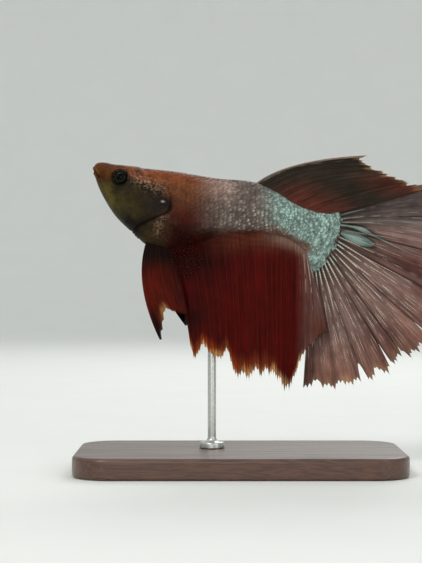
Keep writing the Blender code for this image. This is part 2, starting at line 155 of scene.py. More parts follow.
# The body, as cross-sections from the mouth to the root of the tail fin
BODY = np.array(
    (
        # ridge x and z, keel x and z, half width, widest place, upper and lower roundness, bulge
        (0.00, 0.15, 0.00, -0.60, 0.45, 0.55, 2.2, 2.2, 0.0),
        (0.30, 0.70, 0.30, -1.95, 1.20, 0.58, 2.4, 2.2, 0.0),
        (1.10, 1.03, 1.10, -4.10, 1.95, 0.62, 2.6, 2.0, 0.0),
        (2.40, 0.98, 2.40, -6.60, 2.60, 0.62, 2.8, 1.9, 0.0),
        (3.80, 0.68, 3.80, -8.75, 3.10, 0.62, 2.9, 1.9, 0.0),
        (5.20, 0.54, 5.20, -10.35, 3.45, 0.60, 2.9, 1.9, 0.0),
        (7.00, 0.36, 7.00, -11.95, 3.75, 0.58, 2.7, 1.9, 0.0),
        (9.40, 0.12, 9.40, -14.45, 4.00, 0.56, 2.4, 1.8, 0.0),
        (12.50, -0.19, 12.50, -15.45, 4.15, 0.56, 2.2, 1.9, 0.0),
        (15.40, -0.50, 15.40, -15.65, 4.10, 0.57, 2.1, 2.0, 0.0),
        (19.50, -1.22, 19.50, -14.55, 3.85, 0.58, 2.0, 1.9, 0.0),
        (24.00, -1.92, 24.00, -13.20, 3.45, 0.56, 2.0, 1.8, 0.0),
        (30.60, -2.57, 30.60, -12.45, 2.90, 0.52, 2.0, 1.8, 0.0),
        (35.00, -4.66, 35.00, -13.05, 2.40, 0.50, 2.0, 1.8, 0.0),
        (38.20, -6.65, 37.60, -13.95, 2.00, 0.50, 2.0, 2.0, 0.1),
        (42.00, -8.10, 39.90, -15.90, 1.45, 0.50, 2.0, 2.0, 0.6),
        (45.40, -8.55, 41.30, -19.00, 0.85, 0.50, 2.4, 2.4, 1.4),
    )
)
BODY_LENGTH = BODY[-1, 0]
SPINE_BEND = 0.8
BEND_START = 22.0

EYE_PLACE = (5.15, -1.98)
EYE_RADIUS = 1.46
EYE_DEPTH = 0.90
EYE_SINK = 0.22

# Lines of the head seen from the side, as x, z
MOUTH_LINE = route((-0.5, -0.20), (0.05, -0.45), (0.45, -0.95), (0.90, -1.75))
JAW_FOLD = route((0.90, -1.75), (1.75, -3.1), (2.5, -5.0))
CHEEK_FOLD = route((7.9, -2.6), (8.6, -4.6), (8.2, -7.4), (6.9, -9.6), (5.2, -10.6))
EYE_FOLD = route((2.6, -3.3), (4.2, -4.3), (6.2, -4.4), (7.9, -3.4))
GILL_EDGE = route(
    (11.4, -1.9), (13.2, -3.1), (14.4, -5.0), (14.65, -6.9), (14.2, -8.4),
    (12.3, -9.35), (10.2, -10.2), (8.0, -11.3), (6.2, -12.4),
)
NOSTRILS = ((2.35, -0.15), (3.35, -0.55))
PECTORAL_BASE = (13.1, -11.4)
GILL_BOSS = (13.2, -6.6)

# Scales grow behind this line
SCALED_EDGE = route(
    (8.4, 1.6), (9.4, -0.7), (12.3, -2.1), (14.3, -4.2), (14.6, -7.2),
    (14.2, -9.2), (14.3, -13.0), (11.2, -13.2), (8.6, -13.0), (7.6, -16.5),
)
COAT_DEPTH = 0.2  # how far the skin is sunk under the scales
SCALE_ROWS = 18  # on each side
FIRST_SCALES = 7.6  # the x of the foremost column
SCALE_PITCH = 0.87  # from one column of scales to the next
TAIL_PITCH = 0.56
SCALE_THICKNESS = 0.035
SCALE_CROWN = 0.025  # how far its middle bulges over its sides
SCALE_SINK = 0.02  # how far its sides sink in
SCALE_FAN = 1.45  # half the angle of its rounded edge
SCALE_GRID = 7  # points along and across it
SCALE_PATCH = 0.0024  # its size on the map


# ---------------------------------------------------------------- the body's form


def spine_sway(x):
    """How far the middle of the body is swung to the right."""
    back = np.maximum(x - BEND_START, 0.0) / (BODY_LENGTH - BEND_START)
    return SPINE_BEND * back * back


class Section(NamedTuple):
    """A cross-section of the body, or many, with the columns of BODY."""

    ridge_x: np.ndarray
    ridge_z: np.ndarray
    keel_x: np.ndarray
    keel_z: np.ndarray
    half_width: np.ndarray
    widest: np.ndarray  # how far up from the keel to the ridge the widest place lies
    upper: np.ndarray  # the roundness above that place and below it, 2 for an ellipse
    lower: np.ndarray
    bulge: np.ndarray  # how far the middle of the section lies behind its ends


def sections(x):
    """The cross-sections at x."""
    return Section(*np.moveaxis(smooth(BODY[:, 0], BODY, x), -1, 0))


def midline(section, height):
    """x and z on the midline of a section, from its keel at 0 to its ridge at 1."""
    x = mix(section.keel_x, section.ridge_x, height) + section.bulge * 4 * height * (1 - height)
    return x, mix(section.keel_z, section.ridge_z, height)


def caudal_root(height):
    """The x, z of the rear rim of the body, from its keel at 0 to its ridge at 1."""
    return joined(*midline(Section(*BODY[-1]), height))


CAUDAL_ROOT = caudal_root(np.linspace(1.0, 0.0, 12))


def section_point(section, angle):
    """x, y, z on a section. The angle is a quarter turn at its ridge, and minus a quarter at its keel."""
    up = np.sin(angle)
    power = 2 / np.where(up > 0, section.upper, section.lower)
    across = np.abs(np.cos(angle)) ** power
    up = np.sign(up) * np.abs(up) ** power
    reach = np.where(up > 0, 1 - section.widest, section.widest)
    x, z = midline(section, section.widest + up * reach)
    return joined(x, section.half_width * across, z)


def flank(x, z):
    """Half the body's width at places seen from the side, in front of the tail stalk."""
    section = sections(np.asarray(x, dtype=float))
    widest = section.widest
    height = (z - section.keel_z) / (section.ridge_z - section.keel_z)
    above = height > widest
    share = np.where(above, (height - widest) / (1 - widest), (widest - height) / widest)
    roundness = np.where(above, section.upper, section.lower)
    return section.half_width * (1 - np.clip(share, 0, 1) ** roundness) ** (1 / roundness)


def unit(vectors):
    """Vectors made one long."""
    return vectors / np.maximum(np.linalg.norm(vectors, axis=-1, keepdims=True), 1e-9)


class Surface:
    """The skin: a grid of places and outward normals on the right side, read for both sides."""

    def __init__(self, x_places, rounds):
        self.x = x_places
        self.t = np.linspace(0.0, 1.0, rounds)
        plain = self.even_rings()
        out = relief(plain[..., 0], plain[..., 2])
        self.points = plain + self.normals_of(plain) * out[..., None]
        self.normals = self.normals_of(self.points)

    def even_rings(self):
        """The plain body, its rings divided into equal steps from ridge to keel."""
        fine = np.linspace(math.pi / 2, -math.pi / 2, 721)
        rings = sections(self.x[:, None])
        steps = np.linalg.norm(np.diff(section_point(rings, fine[None, :]), axis=1), axis=-1)
        walked = np.concatenate((np.zeros((len(self.x), 1)), np.cumsum(steps, axis=1)), axis=1)
        return section_point(rings, np.array([np.interp(self.t * row[-1], row, fine) for row in walked]))

    @staticmethod
    def normals_of(points):
        """The ways out of a grid of places. On the ridge and the keel they have no y."""
        down = np.gradient(points, axis=1)
        down[:, 0] = (0.0, 1.0, 0.0)
        down[:, -1] = (0.0, -1.0, 0.0)
        return unit(np.cross(np.gradient(points, axis=0), down))

    def read(self, grid, x, g):
        """The grid read between its places, with y mirrored on the left side."""
        g = np.mod(g + 1, 2) - 1
        i = np.interp(x, self.x, np.arange(len(self.x)))
        j = np.abs(g) * (len(self.t) - 1)
        i0 = np.clip(i.astype(int), 0, len(self.x) - 2)
        j0 = np.clip(j.astype(int), 0, len(self.t) - 2)
        a, b = (i - i0)[..., None], (j - j0)[..., None]
        front, rear = (mix(grid[row, j0], grid[row, j0 + 1], b) for row in (i0, i0 + 1))
        read = mix(front, rear, a)
        read[..., 1] *= np.where(g < 0, -1.0, 1.0)
        return read

    def at(self, x, g):
        """Places of the skin and the way out of it there."""
        points = self.read(self.points, x, g)
        points[..., 1] += spine_sway(x)
        return points, unit(self.read(self.normals, x, g))


def from_eye(x, z):
    """How far places lie from the middle of the eye, 1 at its rim."""
    return np.hypot(x - EYE_PLACE[0], z - EYE_PLACE[1]) / EYE_RADIUS


def relief(x, z):
    """How far the skin stands out of the plain body at places seen from the side."""
    out = -COAT_DEPTH * ramp(-near(SCALED_EDGE, x, z).ahead, -0.4, 0.5)

    # the lips roll out on both sides of the mouth, which ends in a pit at its corner
    mouth = near(MOUTH_LINE, x, z)
    out += 0.20 * ramp(x, 2.6, 1.2) * bell(mouth.distance, 0.2, 0.34) * ramp(mouth.share, 1.0, 0.7)
    out -= 0.42 * bell(mouth.distance, 0.11)
    out -= 0.25 * spot(x, z, (1.0, -1.8), (0.3, 0.35))
    jaw = near(JAW_FOLD, x, z)
    out -= 0.10 * bell(jaw.distance, 0.16) * ramp(jaw.share, 1.0, 0.5)
    for middle in NOSTRILS:
        out += 0.10 * spot(x, z, middle, (0.3, 0.26)) - 0.32 * spot(x, z, middle, (0.13, 0.11))

    # the socket: the skin dips under the eye and rises in a lid round it
    eye = from_eye(x, z)
    out += 0.17 * bell(eye, 0.1, 1.1) - 0.07 * bell(eye, 0.09, 1.32) - 0.75 * ramp(eye, 1.0, 0.86)

    # soft folds of the cheek
    for line, depth, width in ((CHEEK_FOLD, 0.14, 0.3), (EYE_FOLD, 0.09, 0.25)):
        fold = near(line, x, z)
        ends = depth * ramp(fold.share, 0.0, 0.2) * ramp(fold.share, 1.0, 0.8)
        out += ends * (0.5 * bell(fold.distance, 1.4 * width, 2 * width) - bell(fold.distance, width))

    # the gill cover's rear rim is a flap over a groove, with folds of membrane under it
    _, ahead, share = near(GILL_EDGE, x, z)
    rim = 0.24 * ramp(share, 0.0, 0.4) * ramp(share, 1.0, 0.85)
    out += rim * (bell(np.maximum(ahead, 0), 1.1) * ramp(ahead, -0.06, 0.2) - bell(ahead, 0.26, -0.22))
    membrane = ramp(share, 0.55, 0.75) * ramp(-ahead, 0.2, 0.5) * ramp(-ahead, 2.6, 1.6)
    out += membrane * 0.08 * np.cos(math.tau * ahead / 0.62)
    out += 0.45 * spot(x, z, PECTORAL_BASE, (1.1, 1.7), lean=-12)
    return out + 0.14 * spot(x, z, GILL_BOSS, (0.55, 0.4))


# ---------------------------------------------------------------- markings


def srgb(*parts):
    """A colour given as it looks on a screen, 0 to 255, made linear."""
    return np.array([(part / 255) ** 2.2 for part in parts])


def lay(colour, *coats):
    """Coats of paint laid over a colour one by one, each a paint and the mask where it lies, 0 to 1."""
    for paint, mask in coats:
        colour = colour + (paint - colour) * np.clip(mask, 0, 1)[..., None]
    return colour


NAPE = srgb(120, 64, 33)
WARM_FLANK = srgb(98, 58, 34)
BROWN_FLANK = srgb(80, 46, 28)
RED_FLANK = srgb(68, 25, 13)
BELLY = srgb(36, 14, 9)
PALE_BACK = srgb(148, 125, 114)
GREY_FLANK = srgb(98, 86, 80)
KEEL_BROWN = srgb(84, 46, 34)
STALK = srgb(124, 144, 136)
STALK_BROWN = srgb(112, 88, 78)
OLIVE = srgb(52, 45, 23)
JAW_OLIVE = srgb(80, 72, 32)
GILL = srgb(37, 30, 17)
GILL_RIM = srgb(22, 13, 7)
THROAT = srgb(20, 16, 6)
BREAST = srgb(50, 40, 20)
BROW = srgb(122, 62, 26)
SNOUT = srgb(78, 47, 17)
RIDGE = srgb(64, 36, 22)
MOUTH_SHADE = srgb(46, 22, 10)
FLECKS = srgb(140, 110, 90)
PECTORAL_SKIN = srgb(82, 60, 42)
SILVER = srgb(178, 171, 160)
RAY_SILVER = srgb(206, 200, 186)
TURQUOISE = srgb(172, 204, 194)
ANAL_RED = srgb(68, 13, 7)
ANAL_TOP = srgb(82, 44, 32)
DORSAL_DARK = srgb(46, 40, 33)
DORSAL_RED = srgb(86, 46, 38)
CAUDAL_MAUVE = srgb(118, 94, 87)
CAUDAL_RED = srgb(122, 82, 70)
CAUDAL_FOLD_SHADE = srgb(66, 40, 37)
CAUDAL_GREY = srgb(92, 84, 82)
CAUDAL_WINE = srgb(82, 50, 47)
CHARCOAL = srgb(26, 26, 22)
AMBER = srgb(190, 142, 84)
EMBER = srgb(132, 60, 28)
PELVIC_RED = srgb(74, 22, 12)
NEAR_BLACK = srgb(20, 12, 9)
IRIS_DARK = srgb(9, 11, 4)
IRIS_GREEN = srgb(30, 42, 24)
IRIS_BRONZE = srgb(50, 38, 16)
IRIS_RING = srgb(84, 74, 38)
EYE_RIM = srgb(22, 20, 12)
PUPIL = (0.002, 0.002, 0.002)


def bands(value, *stops):
    """Colours that run from stop to stop, each a value and its colour."""
    places, colours = zip(*stops)
    return joined(*(np.interp(value, places, channel) for channel in zip(*colours)))


def heights(x, z):
    """How far places lie under the ridge and over the keel."""
    section = sections(np.clip(x, 0, BODY_LENGTH))
    return section.ridge_z - z, z - section.keel_z


def keel_band(x):
    """How high over the keel the silver of the flank ends."""
    return mix(2.2, 0.5, ramp(x, 19, 28))


def turquoise_zone(x, z):
    """1 on the turquoise of the tail stalk, which runs down along the root of the caudal fin."""
    _, over_keel = heights(x, z)
    rear = ramp(x, 33, 39)
    above_keel = ramp(over_keel, mix(1.0, 0.1, rear), mix(3.2, 1.7, rear))
    return np.maximum(ramp(x, 29.5, 36) * above_keel, ramp(near(CAUDAL_ROOT, x, z).distance, 3.4, 2.0))


def flank_paint(x, z):
    """The scaled body: warm and then dark red in front, grey behind, and turquoise on the tail stalk."""
    under_ridge, over_keel = heights(x, z)
    low = ramp(over_keel - keel_band(x), 0.7, -0.3)
    rear = lay(
        bands(under_ridge, (1.5, PALE_BACK), (5.5, GREY_FLANK)),
        (GREY_FLANK, ramp(x, 24, 28)),
        (BELLY * 1.3, low * ramp(x, 27, 20)),
        (KEEL_BROWN, low * ramp(x, 20, 27)),
    )
    front = ((0.5, NAPE), (3.2, WARM_FLANK), (6.0, BROWN_FLANK), (8.4, RED_FLANK), (13.5, BELLY))
    return lay(
        bands(under_ridge, *front),
        (BELLY, ramp(over_keel, 5.5, 1.5) * ramp(x, 19, 15)),
        (rear, ramp(x, 17, 25)),
        (STALK_BROWN, ramp(x, 30, 35) * ramp(over_keel, 3.2, 1.4)),
        (STALK, turquoise_zone(x, z)),
    )


def head_paint(x, z, colour):
    """The head's markings laid over a colour."""
    under_ridge, over_keel = heights(x, z)
    head = bands(x - 0.35 * under_ridge, (4.0, OLIVE), (8.0, GILL))
    _, ahead, share = near(GILL_EDGE, x, z)
    return lay(
        colour,
        (head, ramp(x, 14.6, 12.6) * ramp(under_ridge - 0.18 * x, 0.2, 1.9)),
        # jaw, throat and breast
        (THROAT, ramp(over_keel, 2.4, 0.5) * ramp(x, 5.0, 7.5) * ramp(x, 11.5, 9.0)),
        (JAW_OLIVE, 0.7 * spot(x, z, (3.0, -5.2), (1.1, 2.8), lean=28)),
        (BREAST, ramp(x, 7.6, 8.8) * ramp(x, 12.4, 10.4) * ramp(z, -10.6, -12.4)),
        (THROAT * 0.6, 1.3 * spot(x, z, (7.2, -11.0), (2.1, 1.3), lean=-50)),
        # snout and brow
        (SNOUT, ramp(x, 5.4, 2.6) * ramp(z, -3.6, -1.6)),
        (BROW, ramp(under_ridge, 1.7, 0.5) * ramp(x, 4.2, 6.5) * ramp(x, 15, 9)),
        (BROW, 0.7 * spot(x, z, (1.5, 0.8), (1.6, 0.8))),
        (GILL_RIM, 0.75 * spot(x, z, (8.6, -1.0), (0.9, 0.7), lean=-30)),
        # mouth, with painted shade in its groove and in the pit at its corner
        (MOUTH_SHADE, bell(near(MOUTH_LINE, x, z).distance, 0.16)),
        (MOUTH_SHADE, spot(x, z, (1.0, -1.85), (0.35, 0.4))),
        # eye: a dark ring and patch round it, partly painted shade of its brow and socket
        (GILL_RIM, 0.75 * ramp(from_eye(x, z), 1.36, 1.03)),
        (GILL_RIM, 0.9 * spot(x, z, (5.5, -2.5), (2.1, 2.1))),
        # the rear of the gill cover, and the skin of the pectoral's base behind it
        (GILL_RIM, 1.8 * spot(x, z, (13.2, -7.6), (1.8, 2.1), lean=20) * ramp(ahead, -0.5, 0.2)),
        (GILL_RIM, 0.75 * ramp(ahead, 2.0, 0.4) * ramp(ahead, -0.4, 0.1) * ramp(z, -6.4, -8.2)),
        # painted shade: a dark line in the groove under the gill cover's flap
        (GILL_RIM, 0.8 * bell(ahead, 0.3, -0.2) * ramp(share, 0.1, 0.45)),
        # a painted highlight: a pale silver fleck on the gill boss stands for its wet glint
        (SILVER, 0.8 * spot(x, z, GILL_BOSS, (0.3, 0.15))),
        (PECTORAL_SKIN, 0.85 * spot(x, z, PECTORAL_BASE, (1.3, 2.1), lean=-12)),
    )


def body_paint(x, z):
    """The colour of the skin and the scales at places seen from the side."""
    under_ridge, _ = heights(x, z)
    dusk = 0.65 * ramp(under_ridge, 1.1, 0.1) * ramp(x, 32, 24)
    return lay(head_paint(x, z, flank_paint(x, z)), (RIDGE, dusk))


def body_gleam(x, z):
    """How strongly the scales at places shine, 0 to 1."""
    under_ridge, over_keel = heights(x, z)
    flank_gleam = ramp(x, 18, 31) * ramp(over_keel - keel_band(x), -0.1, 0.8)
    return np.maximum(flank_gleam * mix(0.16, 1.0, ramp(under_ridge, 3.0, 7.5)), turquoise_zone(x, z))


def flecked(x, z):
    """Where the pale flecks behind the eye and on the pectoral's base show, 0 to 1."""
    behind_eye = spot(x, z, (10.2, -2.9), (3.6, 1.3), lean=-24)
    behind_gill = ramp(near(GILL_EDGE, x, z).ahead, 0.2, -0.4)
    return 0.85 * np.maximum(behind_eye, behind_gill * spot(x, z, PECTORAL_BASE, (1.4, 2.2), lean=-12))


# ---------------------------------------------------------------- meshes


def grid_faces(rows, columns, closed=False):
    """The quads of a grid of points laid out row by row. closed joins the last column to the first."""
    row = np.arange(rows - 1)[:, None] * columns
    here = np.arange(columns if closed else columns - 1)
    after = (here + 1) % columns
    return joined(row + here, row + after, row + columns + after, row + columns + here).reshape(-1, 4)


def sheet_faces(rows, columns):
    """The quads of a thin body with two grids of points: those of its faces, and those of its rim."""
    size = rows * columns
    index = np.arange(size).reshape(rows, columns)
    rim = np.concatenate((index[0, :-1], index[:-1, -1], index[-1, :0:-1], index[:0:-1, 0]))
    after = np.roll(rim, -1)
    face = grid_faces(rows, columns)
    walls = joined(after, rim, rim + size, after + size)
    return np.concatenate((face, face[:, ::-1] + size)), walls


def repeated(faces, count, stride):
    """The faces of count bodies alike, each with stride points."""
    return (faces + stride * np.arange(count)[:, None, None]).reshape(-1, faces.shape[-1])


def faced_out(points, faces):
    """The quads of closed bodies, all made alike, turned so that they face out."""
    a, b, c, d = (points[faces[:, k]] for k in range(4))
    volume = np.einsum("ij,ij->i", a, np.cross(b, c) + np.cross(c, d)).sum()
    return faces if volume > 0 else faces[:, ::-1]


def add_object(name, data):
    """A new object in the scene."""
    added = bpy.data.objects.new(name, data)
    bpy.context.scene.collection.objects.link(added)
    return added


def build_piece(name, points, faces, finishes, slot, nodes=(), corners=None, which=None, **marks):
    """A piece of the visual model, in mm of the fish.

    corners has the u, v of its map for each corner of every face, and which the finish of each face.
    marks are attributes with one triple per point.
    """
    mesh = bpy.data.meshes.new(name)
    mesh.from_pydata(((points + MOUTH_TIP) * MM).tolist(), [], [list(face) for face in faces])
    for finish in finishes:
        mesh.materials.append(finish)
    if which is not None:
        mesh.polygons.foreach_set("material_index", which)
    if corners is not None:
        mesh.uv_layers.new(name="OFBake").data.foreach_set("uv", corners.astype(np.float32).ravel())
    for label, values in marks.items():
        mark = mesh.attributes.new(label, "FLOAT_VECTOR", "POINT")
        mark.data.foreach_set("vector", values.astype(np.float32).ravel())
    mesh.update()
    mesh.validate()
    mesh.shade_smooth()
    piece = add_object(name, mesh)
    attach(piece, "root")
    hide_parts(*nodes)


def turned(profile, turns=64):
    """Rings round the z axis. profile is radius and height."""
    angles = math.tau * np.arange(turns) / turns
    radius, height = np.array(profile).T[:, :, None]
    return joined(radius * np.cos(angles), radius * np.sin(angles), height)


def stacked(rings):
    """The points and faces of a body of closed rings, one on the next, with flat ends."""
    count, sides = rings.shape[:2]
    faces = grid_faces(count, sides, closed=True).tolist()
    first, last = list(range(sides)), list(range((count - 1) * sides, count * sides))
    return rings.reshape(-1, 3), faces + [first[::-1], last]


def unwrap(x, g):
    """Where a place of the skin lies on its own flat map."""
    return joined(0.03 + 0.95 * x / BODY_LENGTH, 0.02 + 0.48 * (g + 1))


# ---------------------------------------------------------------- skin

SKIN_NODES = ("head", "jaw_lower", "gill_cover_left", "gill_cover_right", "trunk", "tail_stalk")
# The rings that round off the nose: size, reach ahead, x on the map
NOSE_RINGS = ((0.12, 0.16, -1.2), (0.45, 0.14, -0.8), (0.78, 0.08, -0.4))


def build_skin(surface, finish):
    """One closed skin over head, gill covers, trunk and tail stalk."""
    turns = np.concatenate((surface.t[::-1], -surface.t[1:-1]))
    rings, _ = surface.at(*np.meshgrid(surface.x, turns, indexing="ij"))
    centre = rings[0].mean(axis=0)
    nose = [centre + (rings[0] - centre) * size - (reach, 0.0, 0.0) for size, reach, _ in NOSE_RINGS]
    rings = np.concatenate((nose, rings))
    count, sides = rings.shape[:2]
    points = np.concatenate((rings.reshape(-1, 3), (rings[0].mean(axis=0), rings[-1].mean(axis=0))))

    # both ends are closed by a fan round one more point
    tip, end = count * sides, count * sides + 1
    here = np.arange(sides)
    after = (here + 1) % sides
    last = tip - sides
    front = (after, here, np.full_like(here, tip))
    back = (last + here, last + after, np.full_like(here, end))
    fans = np.moveaxis((front, back), -1, 0).reshape(-1, 3)

    ring_x = np.concatenate(([x for *_, x in NOSE_RINGS], surface.x))
    edges = np.append(turns, -1.0)
    flat = unwrap(*np.meshgrid(ring_x, edges, indexing="ij")).reshape(-1, 2)
    middle = (edges[:-1] + edges[1:]) / 2
    nose_flat = unwrap(ring_x[0] - np.array((0.0, 0.0, 0.2)), joined(edges[1:], edges[:-1], middle))
    rear_flat = unwrap(BODY_LENGTH + np.array((0.0, 0.0, 0.3)), joined(edges[:-1], edges[1:], middle))
    corners = (flat[grid_faces(count, sides + 1)], np.stack((nose_flat, rear_flat), axis=1))

    x, z = points[:, 0], points[:, 2]
    wet = np.maximum(spot(x, z, (12.6, -7.6), (1.9, 2.2)), spot(x, z, (6.2, -9.6), (1.5, 1.2)))
    build_piece(
        "skin",
        points,
        grid_faces(count, sides, closed=True).tolist() + fans.tolist(),
        [finish],
        "skin",
        SKIN_NODES,
        corners=np.concatenate([part.reshape(-1, 2) for part in corners]),
        paint=body_paint(x, z),
        pattern=joined(flecked(x, z), wet, 0.0),
    )


# ---------------------------------------------------------------- scales


class Scales(NamedTuple):
    """Where scales grow, in steps of the surface they lie on, and how they look."""

    along: np.ndarray  # the place of each root
    around: np.ndarray
    step_along: np.ndarray  # the distance to the next column, and to the next row
    step_around: np.ndarray
    lift: np.ndarray  # how high the rear edge stands
    flat: np.ndarray  # the place on the map
    paint: np.ndarray
    shine: np.ndarray  # how strongly it gleams, how turquoise that is, and how plainly the scale shows


def scale_shape():
    """The outline and rise of one scale: a fan that is widest at its rounded rear edge.

    Gives, for a row of points, how many steps back and aside each lies, its share of the length and of
    the width, and how much of the full lift it has.
    """
    line = np.linspace(0, 1, SCALE_GRID)
    p, q = (grid.reshape(1, -1) for grid in np.meshgrid(line, 2 * line - 1, indexing="ij"))
    back = p * mix(1.0, 0.62 + 0.38 * np.cos(q * SCALE_FAN), p) * 1.72 - 0.15
    aside = 0.53 * mix(0.8 * q, np.sin(q * SCALE_FAN) / math.sin(SCALE_FAN), p)
    return back, aside, p, q, p * (0.72 + 0.28 * (1 - q * q))


def build_coat(name, scales, surface_at, finish, seed, leans=1):
    """Many scales over a surface as one piece. leans says which way their bright strokes lean."""
    chance = np.random.default_rng(seed)
    back, aside, p, q, rise = scale_shape()
    count = len(scales.along)
    size = chance.uniform(0.9, 1.08, (count, 1))
    turn = chance.uniform(-0.1, 0.1, (count, 1))
    lifts = scales.lift[:, None] * chance.uniform(0.75, 1.25, (count, 1))
    along = scales.along[:, None] + scales.step_along[:, None] * size * (back + turn * aside)
    around = scales.around[:, None] + scales.step_around[:, None] * size * (aside - turn * back)
    places, normals = surface_at(along, around)
    top = places + normals * (lifts * rise + SCALE_CROWN * (1 - q * q) - SCALE_SINK)[..., None]
    points = np.concatenate((top, top - normals * SCALE_THICKNESS), axis=1)
    stride = points.shape[1]
    points = points.reshape(-1, 3)
    faces = np.concatenate(sheet_faces(SCALE_GRID, SCALE_GRID))
    faces = faced_out(points, repeated(faces, count, stride))

    own = np.repeat(chance.uniform(0, 1, (count, 1)), stride, axis=1)
    p, q = np.tile(p, (count, 2)), np.tile(q, (count, 2))
    patch = scales.flat[:, None] + SCALE_PATCH * joined(p - 0.5, 0.5 * q)
    build_piece(
        name,
        points,
        faces,
        [finish],
        "scales",
        corners=patch.reshape(-1, 2)[faces],
        paint=np.repeat(scales.paint, stride, axis=0),
        lie=joined(p, leans * q, own),
        shine=np.repeat(scales.shine, stride, axis=0),
    )


def scale_roots(side):
    """Where the scales of one side grow, those on the ridge and the keel going to the left side."""
    roots = []
    x, shift = FIRST_SCALES, 0.0
    while x < BODY_LENGTH - 0.7:
        pitch = mix(SCALE_PITCH, TAIL_PITCH, float(ramp(x, 29, 38)))
        turns = (np.arange(SCALE_ROWS + 1) + shift) / SCALE_ROWS
        turns = turns[(turns > 0) & (turns < 1)] if side > 0 else turns[turns <= 1]
        roots += [(x, side * turn, pitch) for turn in turns]
        x, shift = x + pitch, 0.5 - shift
    along, around, pitch = np.array(roots).T

    chance = np.random.default_rng(5 + side)
    stray = mix(0.07, 0.17, ramp(along, 15, 22)) + 0.07 * ramp(along, 29, 38)
    along = along + stray * pitch * chance.standard_normal(len(along))
    between = (np.abs(around) > 0.03) & (np.abs(around) < 0.97)
    around = around + stray * between / SCALE_ROWS * chance.standard_normal(len(along))
    return np.minimum(along, BODY_LENGTH - 0.85), around, pitch


def build_scales(surface, finish):
    """The coat of scales of each flank."""
    for word, side in SIDES.items():
        roots = scale_roots(side)
        places, _ = surface.at(*roots[:2])
        grown = near(SCALED_EDGE, places[:, 0], places[:, 2]).ahead < -0.1
        along, around, pitch = (column[grown] for column in roots)
        x, z = places[grown, 0], places[grown, 2]
        plain = ramp(x, 12, 25)
        turquoise = turquoise_zone(x, z)
        scales = Scales(
            along=along,
            around=around,
            step_along=pitch,
            step_around=mix(1.0, 1.25, ramp(along, 29, 38)) / SCALE_ROWS,
            lift=mix(0.04, 0.1, plain),
            flat=unwrap(along, around),
            paint=body_paint(x, z),
            shine=joined(body_gleam(x, z), turquoise, mix(0.1, 0.4, plain) + 0.5 * turquoise),
        )
        build_coat(f"scales_{word}", scales, surface.at, finish, seed=11 + side, leans=-side)


# ---------------------------------------------------------------- the fins' forms

# ROOTS say where the first and last rays leave the body, and BENDS the points they set out towards. EDGE
# is the outline, as u, x and z. A slit is a u, and how far along the rays it begins. Each fin's function
# gives x, y, z of the middle of its web at u and r.
DORSAL_ROOTS = (31.0, 45.2)
DORSAL_BENDS = np.array(((37.4, 1.9), (50.2, -8.4)))
DORSAL_EDGE = np.array(
    ((0.0, 52.8, 2.4), (0.1, 51.9, 1.1), (0.25, 54.3, -0.3), (0.6, 59.0, -2.2), (1.0, 64.2, -3.7))
)
CAUDAL_MIDDLE = np.array((43.9, -13.7))
CAUDAL_RADIUS = 28.9
CAUDAL_ANGLES = (23.6, -98.0)
CAUDAL_SLITS = (
    (0.13, 0.90), (0.27, 0.84), (0.41, 0.80), (0.543, 0.77), (0.647, 0.85), (0.70, 0.73), (0.803, 0.82),
)
CAUDAL_RAYS = 20
CAUDAL_PLEATS = (3.3, -0.05)  # how many, and where the first begins
ANAL_ROOTS = (14.4, 44.6)
ANAL_BENDS = np.array(((17.3, -25.1), (43.2, -23.8)))
ANAL_EDGE = np.array(
    (
        (0.00, 18.4, -34.6), (0.05, 19.0, -36.6), (0.13, 20.8, -34.6), (0.23, 23.7, -37.2),
        (0.29, 25.2, -35.6), (0.36, 27.0, -40.2), (0.48, 30.2, -40.2), (0.66, 34.5, -40.2),
        (0.77, 36.8, -43.5), (0.86, 38.8, -38.6), (0.93, 40.9, -34.2), (1.00, 44.4, -31.9),
    )
)
ANAL_SLITS = ((0.12, 0.95), (0.30, 0.93), (0.43, 0.95), (0.57, 0.93), (0.82, 0.92))
PELVIC_ROOTS = np.array(((9.8, -14.5), (14.5, -15.3)))
PELVIC_BENDS = np.array(((7.5, -22.5), (16.9, -21.3)))
PELVIC_EDGE = np.array(
    (
        (0.00, 12.9, -33.2), (0.14, 13.2, -30.3), (0.30, 13.7, -27.2),
        (0.55, 15.4, -27.4), (1.00, 17.8, -28.2),
    )
)
PELVIC_SWING = {"left": 0.0, "right": 5.1}  # how far back the tip is held
PELVIC_SPREAD = {"left": 1.7, "right": 3.0}  # the right one passes outside the rod
PECTORAL_ROOTS = np.array(((13.5, -10.0), (12.7, -13.0)))
PECTORAL_EDGE = np.array(
    (
        (0.00, 20.4, -14.2), (0.30, 21.3, -16.9), (0.60, 20.3, -19.4),
        (0.85, 18.2, -21.0), (1.00, 16.0, -21.2),
    )
)


def edge_point(edge, u):
    return smooth(edge[:, 0], edge[:, 1:], u)


def fin_point(root, bend, tip, r, y):
    """Places r of the way along rays that leave their roots towards bend and end at tip."""
    r = r[..., None]
    flat = mix(mix(root, bend, r), mix(bend, tip, r), r)
    return joined(flat[..., 0], y, flat[..., 1])


def dorsal_at(u, r):
    root_x = mix(*DORSAL_ROOTS, u)
    root = joined(root_x, sections(root_x).ridge_z)
    y = spine_sway(root_x) - 0.8 * r + 0.7 * r * r * wave(1.6 * u) + 0.05 * r * wave(12 * u)
    return fin_point(root, mix(*DORSAL_BENDS, u[..., None]), edge_point(DORSAL_EDGE, u), r, y)


def caudal_pleat(u):
    """-1 to 1 over the large pleats of the tail fin."""
    return wave(CAUDAL_PLEATS[0] * u + CAUDAL_PLEATS[1])


